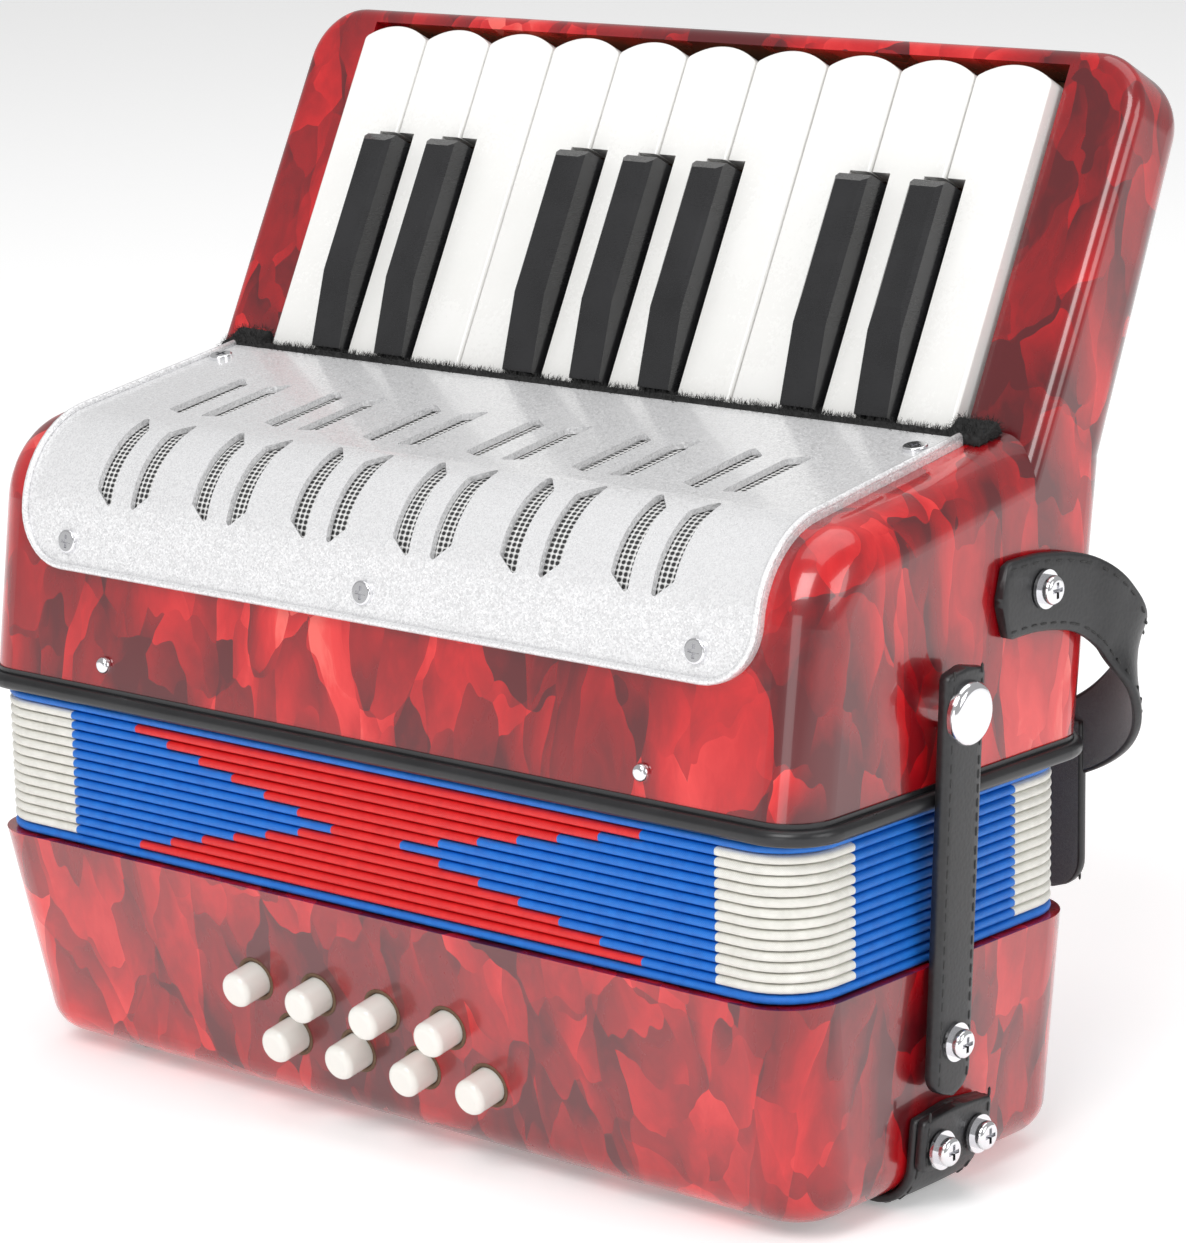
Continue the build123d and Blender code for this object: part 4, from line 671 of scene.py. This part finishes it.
@dataclass
class Bellows:
    """Folds of blue, red and white cloth-covered card."""

    body: Body
    folds: int = 15
    low: float = 51.65
    height: float = 32.2
    half_width: float = 113.6
    half_depth: float = 46.6
    corner: float = 13.0
    depth: float = 9.0
    white_front: tuple[float, float] = (-86.0, 93.7)
    white_side: tuple[float, float] = (-28.0, 25.0)
    red_wide: tuple[float, float] = (-66.0, 75.0)
    red_narrow: tuple[float, float] = (-8.5, 11.0)
    profile: tuple[tuple[float, float], ...] = ((0.0, 9.0), (0.06, 1.1), (0.16, 0.32), (0.32, 0.05), (0.5, 0.0),
                                               (0.68, 0.05), (0.84, 0.32), (0.94, 1.1), (1.0, 9.0))

    def red_span(self, number: int) -> tuple[float, float]:
        """The red part of a fold's front, as its two ends along X."""
        middle = (self.folds - 1) / 2
        share = abs(number - middle) / (middle - 1)
        low = self.red_narrow[0] + (self.red_wide[0] - self.red_narrow[0]) * share
        high = self.red_narrow[1] + (self.red_wide[1] - self.red_narrow[1]) * share
        return low, high

    def outline(self, number: int) -> list[tuple[Vector, Vector, Finish]]:
        """Places round a fold's outer edge.

        Args:
            number: the fold, counted from the bass end.

        Returns:
            Each place, its outward direction, and the finish from it to the next place.
        """
        plain = number in (0, self.folds - 1)
        red_low, red_high = self.red_span(number)
        found: list[tuple[Vector, Vector, Finish]] = []
        flat_x, flat_y = self.half_width - self.corner, self.half_depth - self.corner

        def run(stops: list[tuple[float, Finish]], place: Callable[[float], Vector], out: Vector) -> None:
            for (start, finish), (end, _) in zip(stops, stops[1:]):
                for step in range(4):
                    at = start + (end - start) * step / 4
                    found.append((place(at), out, BLUE_CLOTH if plain else finish))

        def turn(centre: tuple[float, float], start: float) -> None:
            for step in range(8):
                angle = start + pi / 2 * step / 8
                out = Vector((cos(angle), sin(angle), 0))
                found.append((Vector((*centre, 0)) + out * self.corner, out,
                              BLUE_CLOTH if plain else WHITE_CLOTH))

        white_low, white_high = self.white_front
        front = [(-flat_x, WHITE_CLOTH), (white_low, BLUE_CLOTH), (red_low, RED_CLOTH), (red_high, BLUE_CLOTH),
                 (white_high, WHITE_CLOTH), (flat_x, WHITE_CLOTH)]
        run(front, lambda at: Vector((at, -self.half_depth, 0)), Vector((0, -1, 0)))
        turn((flat_x, -flat_y), -pi / 2)
        side_low, side_high = self.white_side
        side = [(-flat_y, WHITE_CLOTH), (side_low, BLUE_CLOTH), (side_high, WHITE_CLOTH), (flat_y, WHITE_CLOTH)]
        run(side, lambda at: Vector((self.half_width, at, 0)), Vector((1, 0, 0)))
        turn((flat_x, flat_y), 0.0)
        run([(-x, finish) for (x, _), (_, finish) in zip(front[::-1], front[::-1][1:] + front[-1:])],
            lambda at: Vector((-at, self.half_depth, 0)), Vector((0, 1, 0)))
        turn((-flat_x, flat_y), pi / 2)
        run([(-y, finish) for (y, _), (_, finish) in zip(side[::-1], side[::-1][1:] + side[-1:])],
            lambda at: Vector((-self.half_width, -at, 0)), Vector((-1, 0, 0)))
        turn((-flat_x, -flat_y), pi)
        return found

    def build(self) -> None:
        """Make every fold, bending between the two ends as an even share of the whole opening."""
        pitch = self.height / self.folds
        finishes = (BLUE_CLOTH, RED_CLOTH, WHITE_CLOTH)
        for number in range(self.folds):
            outline = self.outline(number)
            count = len(outline)
            base = self.low + number * pitch
            corners = []
            for share, inset in self.profile:
                for place, out, _ in outline:
                    corner = place - out * inset
                    corners.append((corner.x, corner.y + self.body.rim_y, base + share * pitch))
            rings = len(self.profile)
            faces = ring_faces(rings, count)
            picks = [finishes.index(finish) for _, _, finish in outline] * (rings - 1)
            fold = mesh_piece(f"bellows_fold_{number + 1}", corners, faces, finishes, picks)
            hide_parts("bellows")
            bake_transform(fold)
        log.info("bellows of %d folds", self.folds)


@dataclass
class Straps:
    """Bellows straps, hand strap and shoulder strap."""

    body: Body
    lean: float = radians(2.5)
    bellows_low: float = 24.7
    bellows_run: float = 87.7
    bellows_gap: float = 2.75
    bellows_half_thick: float = 1.4
    bellows_back: float = -2.3
    tail_x: float = 93.5
    tail_back: float = 65.6
    tail_drop: float = 4.0
    hand_back: float = 2.0
    hand_width: float = 23.0
    side_inset: float = 4.4
    box_height: float = 48.5
    bottom_round: float = 8.0
    hand_reach: float = 1.2
    tab_proud: float = 2.05
    tab_low: float = 8.6
    tab_run: float = 12.6
    side_heights: tuple[float, ...] = (21.2, 20.1, 19.0, 17.9, 16.8, 15.6, 14.4, 13.2, 12.1)
    route: tuple[tuple[float, float, float], ...] = (
        (0.0, 13.5, 32.6), (0.0, 28.0, 32.4), (0.6, 42.0, 29.5), (1.6, 52.0, 23.0), (1.2, 58.5, 13.5),
        (-4.0, 63.5, 2.5), (-13.0, 66.0, -5.5), (-26.0, 66.0, -11.0), (-45.0, 63.0, -16.0),
        (-75.0, 60.0, -19.0))

    def bellows_straps(self) -> None:
        """The two straps that keep the bellows shut."""
        for side, name in ((1, "right"), (-1, "left")):
            inner = self.body.half_width + self.bellows_gap
            rises = [self.bellows_low + self.bellows_run * step / 90 for step in range(91)]
            path = [Vector((side * (inner + self.bellows_half_thick
                                    + (z - self.body.treble_mouth) * tan(self.lean)),
                            self.body.rim_y + self.bellows_back, z)) for z in rises]
            across = [Vector((0, side, 0))] * len(path)
            Strap(f"bellows_strap_leather_{name}", path, across, 12.6, 2.9, round_start=5.0,
                  round_end=1.6).fit(f"bellows_strap_{name}_body", f"bellows_strap_{name}")

    def shoulder_strap(self) -> None:
        """The strap that hangs in a loop behind the treble end."""
        right = [Vector((self.body.half_width + 1.4 + out, self.body.treble_y + back,
                         self.body.treble_mouth + rise)) for out, back, rise in self.route]
        stations = right + [Vector((-place.x, place.y, place.z)) for place in reversed(right)]
        path = smooth_path(stations, 8)
        across = []
        for number in range(len(path)):
            ahead = (path[min(number + 1, len(path) - 1)] - path[max(number - 1, 0)]).normalized()
            edge = (Vector((0, 0, 1)) - ahead * ahead.z).normalized()
            across.append(-edge)
        Strap("shoulder_strap_leather", path, across, 16.0, 2.1, stitch_step=3.4, round_start=3.0,
              round_end=3.0).fit("treble_end", "shoulder_strap")
        top = self.body.treble_mouth - self.tail_drop
        tail = [Vector((self.tail_x, self.body.treble_y + self.tail_back, top - step)) for step in range(38)]
        Strap("shoulder_strap_tail", tail, [Vector((1, 0, 0))] * len(tail), 16.0, 2.1, stitch_step=3.4,
              round_end=7.0).fit("treble_end")

    def hand_strap(self) -> None:
        """The short strap under the bass end, with thick folded tabs."""
        low = self.body.half_width - self.side_inset
        side_lean = self.side_inset / self.box_height

        def side_x(z: float) -> float:
            return low + (z - self.body.bass_bottom) * side_lean + self.hand_reach

        y = self.body.rim_y + self.hand_back
        bend = self.bottom_round + self.hand_reach
        bottom = self.body.bass_bottom
        centre = Vector((side_x(bottom) - bend + 0.7, y, bottom + self.bottom_round))
        side_run = [Vector((side_x(z), y, z)) for z in self.side_heights]
        corner = [centre + Vector((cos(turn), 0, sin(turn))) * bend
                  for turn in [-pi / 2 * step / 12 for step in range(1, 13)]]
        half = side_run + corner
        flat = [Vector((x, y, centre.z - bend)) for x in range(int(centre.x) - 2, 0, -3)]
        path = half + flat + [Vector((-place.x, place.y, place.z)) for place in reversed(half + flat)]
        across = [Vector((0, -1, 0))] * len(path)
        Strap("bass_hand_strap_leather", path, across, self.hand_width, 1.9, round_start=1.5,
              round_end=1.5).fit("bass_end", "bass_hand_strap")
        for side, name in ((1, "right"), (-1, "left")):
            tab = [Vector((side * (side_x(z) + self.tab_proud), y, z))
                   for z in [self.tab_low + self.tab_run * step / 12 for step in range(13)]]
            Strap(f"hand_strap_tab_{name}", tab, [Vector((0, side, 0))] * len(tab), self.hand_width, 2.2,
                  stitch_inset=1.5, round_start=1.5, round_end=1.5).fit("bass_end")

    def build(self) -> None:
        """Make all of them."""
        self.bellows_straps()
        self.shoulder_strap()
        self.hand_strap()


@dataclass
class TrebleTrim:
    """The grille's raised rim, the felt pad and its loose fibres."""

    body: Body
    felt: bpy.types.Object
    half_width: float = 102.2
    plate: float = 1.8
    bead: float = 0.75
    bend: float = 20.0
    low_rise: float = 24.0
    corner: float = 13.0
    rear_y: float = 5.6
    fibres: int = 20000
    fibre_length: tuple[float, float] = (0.6, 1.9)

    def side_profile(self) -> tuple[Vector, Vector, Vector]:
        """Rear end, outer crest and lower end of the grille's outer face, as (y, z)."""
        lean, slope = self.body.front_lean, self.body.top_slope
        up, back = Vector((sin(lean), cos(lean))), Vector((cos(slope), sin(slope)))
        crest = Vector((self.body.treble_front + self.body.crest_rise * tan(lean),
                        self.body.treble_mouth + self.body.crest_rise))
        front = crest + Vector((-cos(lean), sin(lean))) * self.plate
        top = crest + Vector((-sin(slope), cos(slope))) * self.plate
        gap = top - front
        share = (gap.x * back.y - gap.y * back.x) / (up.x * back.y - up.y * back.x)
        outer = front + up * share
        rear = outer + back * ((self.rear_y - outer.x) / back.x)
        low_z = self.body.treble_mouth + self.low_rise + self.bead
        lower = outer + up * ((low_z - outer.y) / up.y)
        return rear, outer, lower

    def rim(self) -> None:
        """Make a raised bead round the grille's sides and lower edge."""
        rear, outer, lower = self.side_profile()
        radius = self.bend + self.plate
        to_rear, to_low = (rear - outer).normalized(), (lower - outer).normalized()
        half_angle = to_rear.angle(to_low) / 2
        centre = outer + (to_rear + to_low).normalized() * (radius / sin(half_angle))
        reach = radius / tan(half_angle)
        first, last = outer + to_rear * reach, outer + to_low * reach
        x = self.half_width - self.bead
        half = [Vector((x, *(rear + (first - rear) * step / 6))) for step in range(6)]
        begin, finish = first - centre, last - centre
        for step in range(13):
            ray = (begin * (1 - step / 12) + finish * (step / 12)).normalized() * radius
            half.append(Vector((x, *(centre + ray))))
        turn = self.corner - self.bead
        for step in range(1, 11):
            angle = pi / 2 * step / 10
            z = lower.y + turn * (1 - sin(angle))
            share = (z - lower.y) / (outer.y - lower.y)
            half.append(Vector((x - turn * (1 - cos(angle)), lower.x + (outer.x - lower.x) * share, z)))
        places = half + [Vector((-place.x, place.y, place.z)) for place in reversed(half)]
        corners, sides = [], 10
        for number, place in enumerate(places):
            ahead = (places[min(number + 1, len(places) - 1)] - places[max(number - 1, 0)]).normalized()
            away = (place - Vector((0, centre.x + 30, centre.y - 30)))
            away = (away - ahead * away.dot(ahead)).normalized()
            side = ahead.cross(away)
            corners += [place + (side * cos(angle) + away * sin(angle)) * self.bead
                        for angle in [2 * pi * part / sides for part in range(sides)]]
        faces = ring_faces(len(places), sides) + end_caps(len(places), sides)
        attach(mesh_piece("grille_rim", corners, faces, (GLITTER,)), "treble_end")

    def pad(self) -> bpy.types.Object:
        """Make a soft uneven copy of the felt strip, in place of its plain solid.

        Returns:
            The felt pad.
        """
        rough = self.felt.copy()
        bpy.context.scene.collection.objects.link(rough)
        remesh = rough.modifiers.new("thicken", "REMESH")
        remesh.mode, remesh.voxel_size = "VOXEL", 0.5 * MM
        soften = rough.modifiers.new("soften", "SMOOTH")
        soften.factor, soften.iterations = 0.5, 5
        lumps = bpy.data.textures.new("felt_lumps", "CLOUDS")
        lumps.noise_scale = 2.2 * MM
        swell = rough.modifiers.new("swell", "DISPLACE")
        swell.texture, swell.strength, swell.mid_level = lumps, 0.6 * MM, 0.5
        shape = bpy.data.meshes.new_from_object(rough.evaluated_get(bpy.context.evaluated_depsgraph_get()))
        bpy.data.objects.remove(rough)
        shape.materials.clear()
        shape.materials.append(FELT.material())
        made = bpy.data.objects.new("felt_pad", shape)
        bpy.context.scene.collection.objects.link(made)
        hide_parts("key_felt")
        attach(made, "treble_end")
        return made

    def fuzz(self) -> None:
        """Make the felt pad and the loose fibres that stand off it."""
        felt = self.pad().data
        felt.calc_loop_triangles()
        chance = random.Random(7)
        faces = [(felt.vertices[a].co / MM, felt.vertices[b].co / MM, felt.vertices[c].co / MM)
                 for a, b, c in (tri.vertices for tri in felt.loop_triangles)]
        weights = [(b - a).cross(c - a).length for a, b, c in faces]
        corners, blades = [], []
        for a, b, c in chance.choices(faces, weights, k=self.fibres):
            u, v = chance.random(), chance.random()
            if u + v > 1:
                u, v = 1 - u, 1 - v
            root = a + (b - a) * u + (c - a) * v
            out = (b - a).cross(c - a).normalized()
            stray = Vector([chance.uniform(-1, 1) for _ in range(3)])
            ahead = (out + stray * 0.8).normalized() * chance.uniform(*self.fibre_length)
            wide = ahead.cross(stray).normalized() * 0.045
            curl = Vector([chance.uniform(-0.35, 0.35) for _ in range(3)])
            start = len(corners)
            waist = root + ahead * 0.5 + curl
            corners += [root - wide, root + wide, waist + wide, waist - wide, root + ahead]
            blades += [(start, start + 1, start + 2, start + 3), (start + 3, start + 2, start + 4)]
        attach(mesh_piece("felt_fuzz", corners, blades, (FELT,), smooth=False), "treble_end")

    def build(self) -> None:
        """Make both."""
        self.rim()
        self.fuzz()
        log.info("grille rim and felt fibres")


@dataclass
class BassTrim:
    """Lining sleeves in the bass button holes."""

    body: Body
    columns: int = 4
    pitch: float = 18.4
    pattern_x: float = -2.4
    rows: tuple[float, float] = (16.0, 27.0)
    setback: float = 9.2
    box_height: float = 48.5
    box_depth: float = 96.0
    inner: float = 4.12
    outer: float = 5.0

    def build(self) -> None:
        """Make the eight sleeves as one ring each, just proud of the leaning front."""
        corners, faces, sides = [], [], 24
        profile = ((self.outer, 3.0), (self.outer, -0.12), (self.inner, -0.04), (self.inner, 3.0))
        lean = self.setback / self.box_height
        slant = (1 + lean * lean) ** 0.5
        inward = Vector((0, 1, lean)) / slant
        up = Vector((0, -lean, 1)) / slant
        for row, rise in enumerate(self.rows):
            for column in range(self.columns):
                shift = self.pitch / 4 if row == 0 else -self.pitch / 4
                x = self.pattern_x + shift + (column - 1.5) * self.pitch
                y = self.body.rim_y - self.box_depth / 2 + (self.box_height - rise) * lean
                middle = Vector((x, y, self.body.bass_bottom + rise))
                start = len(corners)
                for radius, depth in profile:
                    corners += [middle + inward * depth
                                + (Vector((1, 0, 0)) * cos(angle) + up * sin(angle)) * radius
                                for angle in [2 * pi * part / sides for part in range(sides)]]
                faces += ring_faces(len(profile), sides, start)
        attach(mesh_piece("button_sleeves", corners, faces, (SLEEVE,)), "bass_end")
        log.info("button sleeves")


@dataclass
class Studio:
    """Floor, soft lights and camera."""

    floor_colour: Colour = (0.96, 0.96, 0.96)
    floor_glow: float = 0.28
    room_light: float = 0.45
    eye: tuple[float, float, float] = (0.6097, -0.69733, 0.31315)
    yaw: float = radians(40.951)
    pitch: float = radians(-13.377)
    roll: float = radians(-1.112)
    lens: float = 128.27
    shift: tuple[float, float] = (0.01352, 0.0311)
    lights: tuple[tuple[str, Colour, Colour, float, float], ...] = (
        ("key_softbox", (0.5, -1.7, 1.9), (0.0, 0.0, 0.1), 1.3, 30.0),
        ("side_softbox", (1.9, 0.1, 0.9), (0.0, 0.0, 0.1), 1.0, 9.0),
        ("top_softbox", (0.0, 0.3, 2.1), (0.0, 0.0, 0.1), 1.8, 13.0),
        ("front_strip", (0.5, -1.9, 0.25), (0.0, 0.0, 0.1), 0.7, 3.0))

    def build(self) -> None:
        """Make the floor, the lights, the pale surroundings and the camera."""
        floor_finish = Finish("plain_floor", "rubber", Effect.MOULDED, 30.0,
                              shades(self.floor_colour, self.floor_colour), (0.7, 0.8), 0.0)
        mesh = bpy.data.meshes.new("floor")
        mesh.from_pydata([(-6, -6, 0), (6, -6, 0), (6, 6, 0), (-6, 6, 0)], [], [(0, 1, 2, 3)])
        surface = floor_finish.material()
        shader = next(node for node in surface.node_tree.nodes if node.type == "BSDF_PRINCIPLED")
        shader.inputs["Emission Color"].default_value = (1.0, 1.0, 1.0, 1.0)
        shader.inputs["Emission Strength"].default_value = self.floor_glow
        mesh.materials.append(surface)
        floor = bpy.data.objects.new("floor", mesh)
        bpy.context.scene.collection.objects.link(floor)
        for name, place, target, size, power in self.lights:
            data = bpy.data.lights.new(name, "AREA")
            data.size, data.energy = size, power
            lamp = bpy.data.objects.new(name, data)
            lamp.location = place
            lamp.rotation_euler = (Vector(target) - Vector(place)).to_track_quat("-Z", "Y").to_euler()
            bpy.context.scene.collection.objects.link(lamp)
        world = bpy.data.worlds.new("pale_room")
        world.use_nodes = True
        background = world.node_tree.nodes["Background"]
        background.inputs[0].default_value = (1, 1, 1, 1)
        background.inputs[1].default_value = self.room_light
        bpy.context.scene.world = world
        bpy.context.scene.view_settings.view_transform = "Standard"
        self.camera()

    def camera(self) -> None:
        """Place the camera by its heading, tilt and roll."""
        ahead = Vector((-sin(self.yaw) * cos(self.pitch), cos(self.yaw) * cos(self.pitch), sin(self.pitch)))
        right = ahead.cross(Vector((0, 0, 1))).normalized()
        up = right.cross(ahead)
        across = right * cos(self.roll) + up * sin(self.roll)
        upright = up * cos(self.roll) - right * sin(self.roll)
        data = bpy.data.cameras.new("camera")
        data.lens, data.sensor_width, data.sensor_fit = self.lens, 36.0, "AUTO"
        data.shift_x, data.shift_y = self.shift
        camera = bpy.data.objects.new("camera", data)
        turn = Matrix((across, upright, -ahead)).transposed().to_4x4()
        camera.matrix_world = Matrix.Translation(self.eye) @ turn
        bpy.context.scene.collection.objects.link(camera)
        bpy.context.scene.camera = camera


def dress_solids(nodes: dict[str, bpy.types.Object]) -> None:
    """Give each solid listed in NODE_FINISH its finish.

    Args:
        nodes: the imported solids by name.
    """
    for finish, names in NODE_FINISH:
        for name in names:
            solid = nodes[name]
            solid.data.materials.clear()
            solid.data.materials.append(finish.material())
        log.info("%s on %d solids", finish.name, len(names))


def main() -> None:
    """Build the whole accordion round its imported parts."""
    logging.basicConfig(level=logging.INFO)
    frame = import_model()
    body = Body()
    dress_solids(frame["nodes"])
    felt = frame["nodes"]["key_felt"]
    for assembly in (Bellows(body), Straps(body), TrebleTrim(body, felt), BassTrim(body), Studio()):
        assembly.build()


if __name__ == "__main__":
    main()
